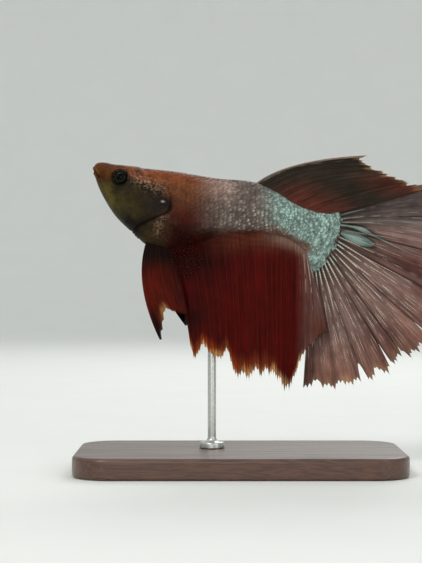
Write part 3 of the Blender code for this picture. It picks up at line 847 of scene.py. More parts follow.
def caudal_at(u, r):
    root = caudal_root(1 - u)
    angle = np.radians(mix(*CAUDAL_ANGLES, u))
    tip = CAUDAL_MIDDLE + CAUDAL_RADIUS * joined(np.cos(angle), np.sin(angle))
    bend = mix(root, tip, 0.45)
    bend[..., 1] += 2.6 * np.maximum(1 - 2.4 * u, 0)
    along = np.maximum(r, 0)
    lean = 0.9 * along + 1.2 * along * along * (1 - u)
    folds = 0.22 * along * np.sin(math.tau * 14 * u + 2 * np.sin(9 * u))
    return fin_point(root, bend, tip, r, SPINE_BEND + lean + 1.3 * along**1.5 * caudal_pleat(u) + folds)


def anal_at(u, r):
    root_x = mix(*ANAL_ROOTS, u)
    section = sections(root_x)
    root = joined(section.keel_x, section.keel_z)
    along = np.maximum(r, 0)
    ripple = along * (0.55 * wave(2.6 * u + 0.5) + 0.1 * wave(13 * u))
    y = spine_sway(root_x) - 1.9 * along**0.8 * u**3 + ripple
    return fin_point(root, mix(*ANAL_BENDS, u[..., None]), edge_point(ANAL_EDGE, u), r, y)


def pelvic_at(word, u, r):
    swing = PELVIC_SWING[word]
    bend = mix(*PELVIC_BENDS, u[..., None])
    bend[..., 0] += swing * mix(0.6, 0.3, u)
    along = np.maximum(r, 0)
    y = SIDES[word] * (0.9 + PELVIC_SPREAD[word] * along + 0.25 * along * wave(1.5 * u))
    points = fin_point(mix(*PELVIC_ROOTS, u[..., None]), bend, edge_point(PELVIC_EDGE, u), r, y)
    points[..., 0] += swing * along**2
    points[..., 2] += 0.43 * swing * along
    return points


def pectoral_at(word, u, r):
    root = mix(*PECTORAL_ROOTS, u[..., None])
    tip = edge_point(PECTORAL_EDGE, u)
    along = np.maximum(r, 0)
    out = flank(root[..., 0], root[..., 1]) + 0.35
    y = SIDES[word] * (out + 3.1 * along**0.9 - 0.9 * along**3)
    return fin_point(root, mix(root, tip, 0.5) + (0.5, 0.3), tip, r, y)


def normals_at(at, u, r, step=0.002):
    """The way across a fin's web at its places."""
    return unit(np.cross(at(u + step, r) - at(u - step, r), at(u, r + step) - at(u, r - step)))


# ---------------------------------------------------------------- the fins' markings


def amber_edge(u, edge, strength):
    """Clear amber where the web has worn thin, painted light shining through it, wider in patches along
    the edge.
    """
    patchy = ramp(np.sin(61 * u) + np.sin(27 * u + 2), -0.8, 1.0)
    streaky = mix(0.45, 1.0, ramp(np.sin(173 * u + 3 * np.sin(41 * u)), -0.6, 0.6))
    return AMBER, strength * streaky * ramp(edge, mix(0.975, 0.93, patchy), mix(1.0, 0.985, patchy))


# The thin turquoise strip over the caudal's leaf, seen from the side
CAUDAL_STRIP = route((45.4, -10.6), (48.0, -10.9), (50.6, -11.5), (53.6, -13.0), (60.4, -16.3))


def caudal_paint(x, z, u, r, edge):
    """Dusky mauve-red, with painted shade in its pleats and folds, a turquoise leaf, black between its
    ray roots.
    """
    between_rays = 0.5 - 0.5 * np.cos(math.tau * (u * CAUDAL_RAYS + 0.5))
    leaf = oval(x, z, (50.1, -13.4), (3.3, 0.95), lean=-22)
    strip = near(CAUDAL_STRIP, x, z)
    over = strip.distance - (0.16 + 0.3 * bell(strip.share, 0.16, 0.55) - 0.08 * strip.share)
    # painted shade: dark lines along the folds that run into the slits
    folds = [
        (CAUDAL_FOLD_SHADE * 0.5, 0.8 * bell(u - middle - 0.012 * (start - r), 0.0045) * ramp(r, 0.12, 0.35))
        for middle, start in CAUDAL_SLITS
    ]
    return lay(
        CAUDAL_MAUVE,
        (CAUDAL_GREY, ramp(u, 0.26, 0.12)),
        (CAUDAL_RED, ramp(r, 0.5, 0.95) * ramp(u, 0.2, 0.6) * 0.7),
        (CAUDAL_WINE, 0.85 * spot(x, z, (61.5, -18.6), (8.5, 2.7), lean=-24)),
        (CAUDAL_WINE, 0.9 * spot(x, z, (42.6, -30.0), (2.2, 2.8))),
        # painted shade in the pleats of the web
        (CAUDAL_FOLD_SHADE, 0.35 * ramp(caudal_pleat(u), 0.1, 1.0) * ramp(r, 0.1, 0.35)),
        *folds,
        (CHARCOAL, 0.9 * ramp(r, 0.45, 0.05) * (0.35 + 0.65 * between_rays)),
        (CHARCOAL, 0.8 * ramp(leaf, 1.35, 1.1)),
        (STALK * mix(0.55, 0.85, ramp(leaf, 0.9, 0.3))[..., None], ramp(leaf, 1.06, 0.92)),
        (CHARCOAL, 0.8 * ramp(over, 0.5, 0.2) * ramp(strip.share, 1.0, 0.6)),
        (STALK * 0.95, ramp(over, 0.08, -0.06) * mix(1.0, 0.5, strip.share)),
        amber_edge(u, edge, 0.3 * ramp(u, 0.4, 0.7)),
    )


def caudal_glint(u, r):
    return mix(0.7, 1.0, ramp(r, 0.5, 0.1)) * ramp(r, 1.0, 0.7) * mix(0.3, 1.0, ramp(u, 0.25, 0.5))


def anal_paint(x, z, u, r, edge):
    """Deep red, brown streaks along its root, nearly black in front, amber at its worn tips as painted
    light shining through.
    """
    streak = 0.5 + 0.5 * np.sin(math.tau * (z + 0.12 * x) / 1.1 + np.sin(x * 0.9))
    return lay(
        ANAL_RED,
        (ANAL_TOP, ramp(r, 0.2, 0.02) * ramp(x, 18, 27) * mix(0.55, 1.0, streak)),
        (NEAR_BLACK, 0.85 * spot(x, z, (18.4, -17.2), (7.0, 3.9))),
        (NEAR_BLACK, 0.7 * spot(x, z, (19.4, -28.2), (2.6, 3.2))),
        (CAUDAL_MAUVE * 0.8, 0.6 * ramp(u, 0.8, 1.0)),
        (KEEL_BROWN * 0.8, 0.85 * spot(x, z, (42.8, -30.4), (2.2, 2.8))),
        (STALK_BROWN, ramp(r, 0.12, 0.0) * ramp(x, 30, 37)),
        # painted light: an orange glow at the thin edge of its front part, light shining through the web
        (EMBER, 0.6 * ramp(edge, 0.86, 0.97) * ramp(u, 0.75, 0.5)),
        amber_edge(u, edge, 0.85 * ramp(u, 0.92, 0.86)),
    )


def anal_glint(u, r):
    return 0.5 * ramp(u, 0.84, 0.94) * ramp(r, 0.75, 0.3)


def dorsal_paint(x, z, u, r, edge):
    """Smoky black-brown, red at its root and rear, with a painted highlight along its front ray."""
    return lay(
        DORSAL_DARK,
        (DORSAL_RED, 0.9 * ramp(r, 0.55, 0.1) * ramp(u, 0.1, 0.5)),
        (DORSAL_RED, 0.8 * ramp(r, 0.6, 0.95) * ramp(u, 0.2, 0.6)),
        (DORSAL_DARK, 0.7 * ramp(u, 0.94, 1.0)),
        # a painted highlight: the front ray made pale where light catches it
        (PALE_BACK, 0.7 * ramp(u, 0.035, 0.01)),
        amber_edge(u, edge, 0.45),
    )


def dorsal_highlight(u, r):
    # a painted highlight: the front rays made silvery where light catches them
    return 0.2 * ramp(u, 0.12, 0.02)


def pelvic_paint(x, z, u, r, edge):
    """Dark red with a black spine and tip, amber where it is thin as painted light shining through it."""
    return lay(
        PELVIC_RED,
        (NEAR_BLACK, 0.95 * ramp(r, 0.44, 0.1)),
        (NEAR_BLACK, 0.5 * ramp(u, 0.4, 1.0)),
        (AMBER, 0.38 * ramp(u, 0.12, 0.26) * ramp(u, 0.5, 0.34) * ramp(edge, 0.84, 1.0)),
        (NEAR_BLACK, ramp(u, 0.26, 0.02) * ramp(r, 0.66, 0.88)),
    )


def shaded_pelvic_paint(x, z, u, r, edge):
    # the far pelvic fin: the same paint under painted shade, darker towards its edge
    return lay(pelvic_paint(x, z, u, r, edge), (NEAR_BLACK, 0.3 + 0.35 * ramp(edge, 0.5, 1.0)))


def pectoral_paint(x, z, u, r, edge):
    """A thin smoky brown web."""
    return lay(PECTORAL_SKIN * 0.6, (PELVIC_RED * 0.35, ramp(r, 0.02, 0.3)))


# ---------------------------------------------------------------- fins

WEB_ROOT = -0.04  # the web starts this far along its rays, inside the body
WALL_WIDTH = 0.006  # how wide the web's rim is on the map
HALF_SLIT = 0.009  # half the width of a slit, in u
TUBE_SIDES = 6
TUBE_STEPS = 18
GRANULES = 800  # tried on each side, of which some grow
GRANULE_REACH = 0.08  # how far along the rays they run
GRANULE_SIZE = (0.36, 0.5)  # along and across
CAUDAL_LENGTH = 27.0  # of its rays, and how wide it is at its root and at its outline
CAUDAL_WIDTHS = (11.0, 56.0)


class Fin(NamedTuple):
    """A fin. Its places are u, from its first ray to its last, and r, along a ray to the outline."""

    name: str
    at: Callable  # x, y, z of the middle of the web at u and r
    paint: Callable  # the colour at x, z, u, r and the share of the whole ray's length
    rays: int
    forks: tuple  # how far along a ray it splits, once or more
    columns: int
    rows: int
    web: float = 0.10  # thickness away from the root
    ray_radius: float = 0.17
    teeth: int = 1  # large teeth of the worn edge, and how deep they are
    wear: float = 0.0
    ragged: float = 0.02  # how unevenly the rays end
    slits: tuple = ()
    fringe: float = 0.03  # how far the web draws back between the tips of the rays
    overshoot: float = 0.02
    glint: Callable = lambda u, r: 0 * r  # how silvery the rays are at u and r


class Rays(NamedTuple):
    """Where a fin's rays run."""

    tips: np.ndarray  # the u of each tip
    lengths: np.ndarray  # how far along each tip lies
    levels: list  # for each tip, the u of its ray's root, and its moves aside after the forks


class Part(NamedTuple):
    """Part of a fin's mesh, as build_piece() takes it."""

    points: np.ndarray
    faces: list
    corners: np.ndarray
    marks: dict


def all_fins():
    """Every fin of the fish."""
    yield Fin(
        "dorsal", dorsal_at, dorsal_paint, rays=11, forks=(0.45, 0.72), columns=210, rows=40,
        teeth=7, wear=0.05, fringe=0.012, overshoot=0.006, glint=dorsal_highlight,
    )
    yield Fin(
        "caudal", caudal_at, caudal_paint, rays=CAUDAL_RAYS, forks=(0.2, 0.46), columns=460, rows=60,
        teeth=17, wear=0.07, ragged=0.025, overshoot=0.008, ray_radius=0.15, slits=CAUDAL_SLITS,
        glint=caudal_glint,
    )
    yield Fin(
        "anal", anal_at, anal_paint, rays=26, forks=(0.62,), columns=360, rows=60,
        teeth=13, wear=0.05, overshoot=0.008, ray_radius=0.12, slits=ANAL_SLITS, glint=anal_glint,
    )
    for word, paint in (("left", pelvic_paint), ("right", shaded_pelvic_paint)):
        yield Fin(
            f"pelvic_{word}", partial(pelvic_at, word), paint, rays=6, forks=(0.5,), columns=90, rows=50,
            overshoot=0.01,
        )
        yield Fin(
            f"pectoral_{word}", partial(pectoral_at, word), pectoral_paint,
            rays=11, forks=(0.55,), columns=120, rows=40, web=0.07, ray_radius=0.065, fringe=0.02,
        )


def worn(fin, u):
    """How much of its length the ray at u has kept: the edge is worn into uneven pointed teeth."""
    turn = fin.teeth * u + 0.3 * np.sin(2.3 * fin.teeth * u + 1)
    notch = np.abs(np.sin(math.pi * turn)) ** 0.8
    return 1 - fin.wear * notch * (0.6 + 0.4 * np.sin(5.1 * fin.teeth * u))


def slit_reach(fin, u):
    """How far along the rays the web is whole at u, beside the fin's slits."""
    reach = np.full(np.shape(u), 1.1)
    for middle, start in fin.slits:
        beside = np.minimum(np.abs(u - middle) / HALF_SLIT, 1) ** 0.7
        reach = np.minimum(reach, mix(start, 1.02, beside))
    return reach


def lay_rays(fin, seed):
    """The rays of a fin: each splits in two at every fork, and its parts draw slowly apart."""
    chance = np.random.default_rng(seed)
    cell = 1 / fin.rays
    middles = (np.arange(fin.rays) + 0.5) * cell + chance.uniform(-0.14, 0.14, fin.rays) * cell
    moves = [middles[:, None]]
    for level in range(len(fin.forks)):
        width = cell * 0.25 / 2**level * chance.uniform(0.8, 1.12, (len(moves[0]), 1))
        moves = [np.repeat(move, 2, axis=0) for move in moves]
        moves.append((width * (-1.0, 1.0)).reshape(-1, 1))
    tips = sum(move[:, 0] for move in moves)
    lengths = worn(fin, tips) - fin.ragged * chance.uniform(0, 1, len(tips)) ** 2
    return Rays(tips, np.minimum(lengths, slit_reach(fin, tips)), moves)


def edge_of(fin, rays, u):
    """How far along the rays the web reaches at u: it draws back between their tips."""
    order = np.argsort(rays.tips)
    tips = rays.tips[order]
    apart = np.abs(u[..., None] - tips).min(axis=-1)
    drawn = fin.fringe * np.minimum(apart * len(tips) * 2, 1) ** 0.8
    return np.minimum(np.interp(u, tips, rays.lengths[order]) - drawn, slit_reach(fin, u))


def root_swell(fin, u, r):
    """How much thicker each face of the web is at its root: the caudal's follows the body's rim."""
    swell = 0.6 * (1 - np.abs(2 * u - 1) ** 2.4) ** (1 / 2.4) if fin.name == "caudal" else 0.22
    return swell * np.exp(-np.maximum(r, 0) / 0.035)


def fin_marks(fin, middle, u, r, edge, shine):
    """The marks of a fin's places, one row for each."""
    marks = {
        "paint": fin.paint(middle[..., 0], middle[..., 2], u, r, edge),
        "reach": joined(u * fin.rays, r, edge),
        "shine": joined(*shine),
    }
    return {label: mark.reshape(-1, 3) for label, mark in marks.items()}


def build_web(fin, rays):
    """The two faces of the web and the rim that joins them."""
    u = np.linspace(0.0, 1.0, fin.columns)
    share = np.linspace(0.0, 1.0, fin.rows)[:, None] ** 0.92
    r = WEB_ROOT + (edge_of(fin, rays, u) - WEB_ROOT) * share
    u, share = np.broadcast_arrays(u, share)
    middle = fin.at(u, r)
    thick = 0.5 * fin.web * mix(1.0, 0.45, share) + root_swell(fin, u, r)
    out = normals_at(fin.at, u, r) * thick[..., None]
    points = np.concatenate((middle + out, middle - out)).reshape(-1, 3)

    faces, walls = sheet_faces(fin.rows, fin.columns)
    flat = (0.01 + 0.46 * joined(u, share)).reshape(-1, 2)
    flat = np.concatenate((flat, flat + (0.5, 0.0)))
    seam = flat[walls[:, :2]]
    upright = np.abs(seam[:, 1, 1] - seam[:, 0, 1])[:, None, None] > 1e-6
    shift = np.where(upright, (WALL_WIDTH, 0.0), (0.0, WALL_WIDTH))
    corners = np.concatenate((flat[faces], np.concatenate((seam, seam[:, ::-1] + shift), axis=1)))

    marks = fin_marks(fin, middle, u, r, share, (0 * r,) * 3)
    marks = {label: np.tile(mark, (2, 1)) for label, mark in marks.items()}
    return Part(points, np.concatenate((faces, walls)).tolist(), corners.reshape(-1, 2), marks)


def tube_paths(fin, rays):
    """u, r, radius and share of the whole ray's length, along every part of every ray."""
    last = rays.lengths + fin.overshoot
    uneven = 0.05 * np.sin(7.3 * np.arange(fin.rays))  # how much later each ray forks than the mean
    s = np.linspace(0, 1, TUBE_STEPS)[None, :]
    paths = []
    for level in range(len(fin.forks) + 1):
        group = 2 ** (len(fin.forks) - level)
        forks = [fork + np.repeat(uneven, 2**level)[:, None] for fork in fin.forks]
        longest = last[::group, None]
        start = forks[level - 1] if level else WEB_ROOT
        stop = longest if group == 1 else forks[level] + 0.01
        r = start + (stop - start) * s
        u = rays.levels[0][::group] + 0 * r
        for part, fork in zip(rays.levels[1 : level + 1], forks):
            u = u + part[::group] * ramp(r, fork, fork + 0.3)
        taper = ramp(s, 1.02, 0.8) if group == 1 else mix(0.8, 1.0, ramp(s, 1.0, 0.6))
        radius = fin.ray_radius * mix(1.0, 0.35, np.clip(r, 0, 1)) * 0.8**level * taper + 0.01
        paths.append((u, r, radius, np.clip(r / longest, 0, 1)))
    return tuple(np.concatenate(parts) for parts in zip(*paths))


def build_rays(fin, rays):
    """The rays as fine tubes that stand out of both faces of the web."""
    u, r, radius, edge = tube_paths(fin, rays)
    count, steps = u.shape
    stride = steps * TUBE_SIDES
    middle = fin.at(u, r)
    out = normals_at(fin.at, u, r)
    aside = unit(np.cross(out, np.gradient(middle, axis=1)))
    around = np.arange(TUBE_SIDES)
    turn = math.tau * around / TUBE_SIDES
    ring = np.cos(turn)[:, None] * aside[:, :, None, :] + np.sin(turn)[:, None] * out[:, :, None, :]
    points = (middle[:, :, None, :] + radius[:, :, None, None] * ring).reshape(-1, 3)
    caps = np.stack((around[::-1], around + stride - TUBE_SIDES))
    faces = repeated(grid_faces(steps, TUBE_SIDES, closed=True), count, stride).tolist()
    faces += repeated(caps, count, stride).tolist()

    # on the map each tube is an upright strip, with its ends below and above it
    strip = np.arange(count)[:, None, None]
    across = strip + 0.1 + 0.8 * np.arange(TUBE_SIDES + 1) / TUBE_SIDES
    lengths = 0.53 + 0.44 * np.linspace(0, 1, steps)[:, None]
    flat = joined(across / count, lengths).reshape(count, -1, 2)
    corners = flat[:, grid_faces(steps, TUBE_SIDES + 1)]
    cap_x = (strip + 0.5 + 0.3 * np.cos(turn)) / count
    cap_z = np.array((0.522, 0.98))[:, None] + 0.004 * np.sin(turn)
    corners = np.concatenate((corners.reshape(-1, 2), joined(cap_x, cap_z).reshape(-1, 2)))

    marks = fin_marks(fin, middle, u, r, edge, (fin.glint(u, r), ramp(r, 0.16, 0.04), 0.0))
    marks = {label: np.repeat(mark, TUBE_SIDES, axis=0) for label, mark in marks.items()}
    return Part(points, faces, corners, marks)


def build_fin(fin, finishes, seed):
    """A fin as one piece of web and rays."""
    rays = lay_rays(fin, seed)
    web, tubes = build_web(fin, rays), build_rays(fin, rays)
    node = f"fin_{fin.name}"
    build_piece(
        node + "_web",
        np.concatenate((web.points, tubes.points)),
        web.faces + [[len(web.points) + point for point in face] for face in tubes.faces],
        finishes,
        "fins",
        (node,),
        corners=np.concatenate((web.corners, tubes.corners)),
        which=np.repeat((0, 1), (len(web.faces), len(tubes.faces))),
        **{label: np.concatenate((mark, tubes.marks[label])) for label, mark in web.marks.items()},
    )


def build_granules(fin, finish):
    """Small scales that spill from the tail stalk over the roots of the caudal rays."""
    for word, side in SIDES.items():
        chance = np.random.default_rng(61 + side)
        u = chance.uniform(0.01, 0.99, GRANULES)
        r = GRANULE_REACH * chance.uniform(0, 1, GRANULES) ** 1.8
        r = r * mix(0.6, 1.0, chance.uniform(0, 1, GRANULES)) - 0.02
        kept = r < GRANULE_REACH * (0.55 + 0.45 * np.cos(math.tau * CAUDAL_RAYS * u))
        order = np.argsort(-r[kept])
        u, r = u[kept][order], r[kept][order]

        def surface_at(along, around):
            out = normals_at(fin.at, around, along)
            out *= side * np.sign(out[..., 1:2])
            rise = 0.5 * fin.web + root_swell(fin, np.clip(around, 0, 1), along) + 0.03
            return fin.at(around, along) + out * rise[..., None], out

        length, width = GRANULE_SIZE
        fade = ramp(r, GRANULE_REACH, 0.25 * GRANULE_REACH)
        scales = Scales(
            along=r,
            around=u,
            step_along=np.full_like(r, length / CAUDAL_LENGTH),
            step_around=width / mix(*CAUDAL_WIDTHS, np.maximum(r, 0)),
            lift=np.full_like(r, 0.1),
            flat=joined(0.04 + 0.9 * u, 0.08 + 0.86 * r / GRANULE_REACH),
            paint=lay(CAUDAL_MAUVE * 0.7, (STALK, 0.3 + 0.7 * fade)),
            shine=joined(0.5 + 0.5 * fade, 1.0, 1.0),
        )
        build_coat(f"scales_tail_{word}", scales, surface_at, finish, seed=71 + side)


# ---------------------------------------------------------------- eyes

IRIS_RADIUS = 1.12
PUPIL_RADIUS = 0.66
LENS_SHARE = (0.97, 0.93)  # the cornea's inside against its outside, across and out


def arc(first, last, count, across=1.0, out=1.0):
    """Part of the eyeball's outline, as radius and height. Its rim is at the angle 0."""
    angles = np.linspace(first, last, count)
    return [(EYE_RADIUS * across * math.cos(a), EYE_DEPTH * out * math.sin(a)) for a in angles]


def eye_profile():
    """From the middle of the pupil over the iris and the white to the back of the eye."""
    pupil = [(0.02, 0.50), (0.3, 0.505), (PUPIL_RADIUS - 0.04, 0.50), (PUPIL_RADIUS, 0.515)]
    iris = [(PUPIL_RADIUS + 0.05, 0.55), (0.85, 0.545), (1.0, 0.50), (IRIS_RADIUS, 0.44)]
    return pupil + iris + arc(0.52, -1.45, 14, across=0.985)


def lens_profile():
    """The clear cornea, a thin cap over the iris."""
    return arc(1.55, 0.30, 16) + arc(0.30, 1.55, 16, *LENS_SHARE)


def build_eyes(eye, lens):
    """The eyes, each a body turned round an axis across the fish, under its cornea."""
    for word, side in SIDES.items():
        x, z = EYE_PLACE
        centre = np.array((x, side * (float(flank(x, z)) - EYE_SINK), z))
        for name, profile, finish, nodes in (
            (f"eyeball_{word}", eye_profile(), eye, (f"eye_{word}",)),
            (f"cornea_{word}", lens_profile(), lens, ()),
        ):
            points, faces = stacked(turned(profile)[..., (0, 2, 1)] * (1, side, 1) + centre)
            faces = [face[::-1] for face in faces] if side < 0 else faces
            gaze = (points - centre) / EYE_RADIUS
            build_piece(name, points, faces, [finish], "eyes", nodes, gaze=gaze)


# ---------------------------------------------------------------- finishes


class Wire:
    """An output of a node, which can be reckoned with as a number can."""

    def __init__(self, finish, socket):
        self.finish = finish
        self.socket = socket

    def __add__(self, other):
        return self.finish.math("ADD", self, other)

    def __sub__(self, other):
        return self.finish.math("SUBTRACT", self, other)

    def __mul__(self, other):
        return self.finish.math("MULTIPLY", self, other)

    def __abs__(self):
        return self.finish.math("ABSOLUTE", self)

    def sine(self):
        return self.finish.math("SINE", self)

    def ramp(self, low, high, start=0.0, stop=1.0):
        """A soft step from start at low to stop at high."""
        inputs = (self, low, high, start, stop)
        return self.finish.node("MapRange", inputs, interpolation_type="SMOOTHSTEP")

    def split(self):
        """The three parts of a vector."""
        node = self.finish.node("SeparateXYZ", [self]).socket.node
        return [Wire(self.finish, socket) for socket in node.outputs]

    def stretched(self, *size):
        return self.finish.node("VectorMath", [self, size], operation="MULTIPLY")

    def noise(self, scale, detail=3.0):
        return self.finish.node("TexNoise", {"Vector": self, "Scale": scale, "Detail": detail}, "Fac")

    def cells(self, scale):
        """How far places lie from the edges of small cells."""
        inputs = {"Vector": self, "Scale": scale}
        return self.finish.node("TexVoronoi", inputs, "Distance", feature="DISTANCE_TO_EDGE")

    def laid(self, paint, share):
        """Paint laid over a colour."""
        return self.finish.blend(share, self, paint)

    def tinted(self, share, light, dark):
        """A colour made lighter and darker by a share from 0 to 1."""
        return self.finish.tint(self, share, light, dark)


class Finish:
    """A material under construction."""

    def __init__(self, name, **constants):
        self.material = bpy.data.materials.new(name)
        self.material.use_nodes = True
        self.tree = self.material.node_tree
        self.done(**constants)

    def done(self, **sockets):
        """Sets or feeds sockets of the surface, given with underscores for their spaces."""
        inputs = self.tree.nodes["Principled BSDF"].inputs
        for label, value in sockets.items():
            self.feed(inputs[label.replace("_", " ")], value)
        return self.material

    def feed(self, socket, value):
        if isinstance(value, Wire):
            self.tree.links.new(value.socket, socket)
        elif value is not None:
            socket.default_value = (*value, 1.0) if socket.type == "RGBA" else value

    def node(self, kind, inputs=(), output=0, **settings):
        """A new node's output. inputs has a value for each socket in turn, or by name."""
        node = self.tree.nodes.new(f"ShaderNode{kind}")
        for label, value in settings.items():
            setattr(node, label, value)
        for key, value in inputs.items() if isinstance(inputs, dict) else enumerate(inputs):
            self.feed(node.inputs[key], value)
        return Wire(self, node.outputs[output])

    def math(self, operation, *parts):
        return self.node("Math", parts, operation=operation)

    def mark(self, name):
        return self.node("Attribute", output="Vector", attribute_name=name)

    def place(self):
        """The place in the model, in mm."""
        return self.node("TexCoord", output="Object").stretched(1 / MM, 1 / MM, 1 / MM)

    def join(self, *parts):
        return self.node("CombineXYZ", parts)

    def blend(self, share, a, b, kind="MIX"):
        return self.node("Mix", {0: share, 6: a, 7: b}, 2, data_type="RGBA", blend_type=kind)

    def tint(self, colour, share, light, dark):
        """A colour made lighter and darker by a share from 0 to 1."""
        return self.shade(colour, share.ramp(0.25, 0.75, dark, light))

    def shade(self, colour, shade):
        """A colour times a number."""
        return self.blend(1.0, colour, self.join(shade, shade, shade), "MULTIPLY")

    def relief(self, *layers):
        """A bumped normal. A layer is a height from 0 to 1, how many mm that is, and its strength."""
        normal = None
        for height, depth, strength in layers:
            inputs = {"Height": height, "Distance": depth * MM, "Strength": strength, "Normal": normal}
            normal = self.node("Bump", inputs, "Normal")
        return normal


def skin_finish():
    """Moist skin, mottled and grained, with pale and dark flecks where its pattern says."""
    finish = Finish("moist_skin", Specular_IOR_Level=0.08, Coat_Weight=0.04, Coat_Roughness=0.08)
    flecks, wet, _ = finish.mark("pattern").split()
    place = finish.place()
    mottle, grain = place.noise(0.75, 4.0), place.noise(4.5)
    net = place.stretched(1.0, 1.0, 1.3).noise(1.9)
    colour = finish.mark("paint").tinted(mottle, 1.5, 0.6).tinted(grain, 1.2, 0.8)
    colour = colour.laid(FLECKS, net.ramp(0.47, 0.62) * flecks)
    colour = colour.laid(GILL_RIM, net.ramp(0.46, 0.36) * (flecks * 0.8))
    plates = place.cells(0.95).ramp(0.0, 0.16)
    return finish.done(
        Base_Color=colour.laid(NEAR_BLACK, place.noise(7.0, 2.0).ramp(0.66, 0.6, 0.55, 0.0)),
        Roughness=grain.ramp(0.3, 0.7, 0.4, 0.56) * wet.ramp(0.2, 0.9, 1.0, 0.4),
        Normal=finish.relief((plates, 0.02, 0.5), (mottle, 0.12, 0.6), (grain, 0.03, 0.5)),
    )


def scale_finish():
    """A scale: painted shade where the one before covers it and at its rear rim, with a bright stroke at
    its rear and fine rings.
    """
    finish = Finish("scale", Specular_IOR_Level=0.09, Coat_Weight=0.04, Coat_Roughness=0.15)
    p, q, chance = finish.mark("lie").split()
    gleam, turquoise, plain = finish.mark("shine").split()
    place = finish.place()
    grain, wide = place.noise(3.2), place.noise(0.6)

    def where_plain(shade):
        """A shade that is full where the scales show plainly and 1 where they don't."""
        return (shade - 1.0) * plain + 1.0

    bend = p + q * (q * 0.06 - 0.12)  # the stroke's own share of the length
    shade = where_plain(chance.ramp(0.25, 0.75, 0.7, 1.35)) * wide.ramp(0.3, 0.7, 0.78, 1.25)
    shade = shade * grain.ramp(0.3, 0.7, 0.85, 1.15)
    # painted shade: darker at its front, under the scale before it, and at its rear rim
    shade = shade * where_plain(bend.ramp(0.4, 0.62, 0.62, 1.0) * bend.ramp(0.9, 1.0, 1.0, 0.62))

    stroke = bend.ramp(0.56, 0.7) * bend.ramp(0.95, 0.82) * abs(q).ramp(0.92, 0.5)
    broken = grain.ramp(0.36, 0.6, 0.25, 1.0) * wide.ramp(0.3, 0.6, 0.5, 1.0)
    bright = stroke * (gleam * chance.ramp(0.1, 0.9, 0.12, 1.0) * broken)
    pearl = finish.blend(turquoise, SILVER, TURQUOISE)
    rings, ribs = ((p + q * q) * 42.0).sine(), (q * 24.0).sine()
    return finish.done(
        Base_Color=finish.shade(finish.mark("paint"), shade).laid(pearl, bright),
        Metallic=bright * 0.35,
        Roughness=bright.ramp(0.0, 1.0, 0.45, 0.34),
        Normal=finish.relief((rings, 0.005, 0.5), (ribs, 0.005, 0.4), (grain, 0.02, 0.5)),
    )


def web_finish():
    """A fin's web: streaks along its rays, thin and clearer at its worn edge."""
    finish = Finish("fin_web", Specular_IOR_Level=0.045, Roughness=0.42)
    u, r, edge = finish.mark("reach").split()
    streak = finish.join(u * 2.6, r * 1.6, 0.0).noise(1.0)
    thread = finish.join(u * 11.0, r * 5.0, 0.0).noise(1.0, 2.0)
    cloud = finish.place().noise(0.35)
    colour = finish.mark("paint").tinted(streak, 1.4, 0.62)
    return finish.done(
        Base_Color=colour.tinted(thread, 1.18, 0.82).tinted(cloud, 1.2, 0.8),
        Alpha=edge.ramp(0.94, 1.0, 1.0, 0.78),
        Normal=finish.relief((thread, 0.05, 0.8)),
    )


def ray_finish(name="fin_ray", joints=0.02, gloss=0.1):
    """A fin's rays: short joints with dark gaps, silvery where they shine."""
    finish = Finish(name, Specular_IOR_Level=gloss)
    u, r, edge = finish.mark("reach").split()
    glint, turquoise, _ = finish.mark("shine").split()
    joint = (r * 300.0 + u * 37.0).sine().ramp(-1.0, -0.1, 0.4, 1.0)
    patchy = finish.join(u * 1.7, r * 9.0, 0.0).noise(1.0, 4.0)
    low = r.ramp(0.05, 0.6, 0.32, 0.42)
    bright = joint * patchy.ramp(low, low + 0.2) * glint
    pearl = finish.blend(turquoise, RAY_SILVER, TURQUOISE)
    return finish.done(
        Base_Color=finish.mark("paint").tinted(patchy, 1.15, 0.6).laid(pearl, bright),
        Metallic=bright * 0.3,
        Roughness=patchy.ramp(0.3, 0.7, 0.42, 0.3),
        Alpha=edge.ramp(0.95, 1.0, 1.0, 0.85),
        Normal=finish.relief((joint, joints, 0.8)),
    )


def thin_web_finish():
    """The clear smoky web of the pectoral fins."""
    finish = Finish("pectoral_web", Roughness=0.4, Specular_IOR_Level=0.05)
    u, r, _ = finish.mark("reach").split()
    thread = finish.join(u * 9.0, r * 4.0, 0.0).noise(1.0, 2.0)
    return finish.done(
        Base_Color=finish.mark("paint").tinted(thread, 1.3, 0.7),
        Alpha=r.ramp(0.0, 0.3, 0.5, 0.14),
        Normal=finish.relief((thread, 0.03, 0.6)),
    )


def eye_finish():
    """A black pupil in a dark iris with green and bronze flecks round it, partly painted glints."""
    finish = Finish("eye", Roughness=0.3, Specular_IOR_Level=0.03)
    x, _, z = finish.mark("gaze").split()
    radius = finish.math("SQRT", x * x + z * z)
    fibres = finish.join(finish.math("ARCTAN2", x, z), radius, 0.0).noise(7.0)
    pupil = radius.ramp(0.46, 0.43)
    # the green and bronze flecks are partly painted glints of reflected light
    iris = finish.blend(finish.place().noise(3.2, 4.0).ramp(0.45, 0.65), IRIS_DARK, IRIS_GREEN)
    iris = iris.laid(IRIS_BRONZE, fibres.ramp(0.5, 0.7, 0.0, 0.35))
    iris = iris.laid(IRIS_RING, abs(radius - 0.47).ramp(0.06, 0.01, 0.0, 0.16))
    return finish.done(
        Base_Color=iris.laid(EYE_RIM, radius.ramp(0.66, 0.8)).laid(PUPIL, pupil),
        Normal=finish.relief((fibres * finish.math("SUBTRACT", 1.0, pupil), 0.03, 0.6)),
    )


def cornea_finish():
    """The clear, faintly hazy cornea."""
    finish = Finish("cornea", Roughness=0.03, IOR=1.1, Transmission_Weight=1.0)
    haze = finish.place().noise(1.5, 2.0)
    return finish.done(Base_Color=finish.tint((0.95, 0.97, 0.95), haze, 1.0, 0.96))


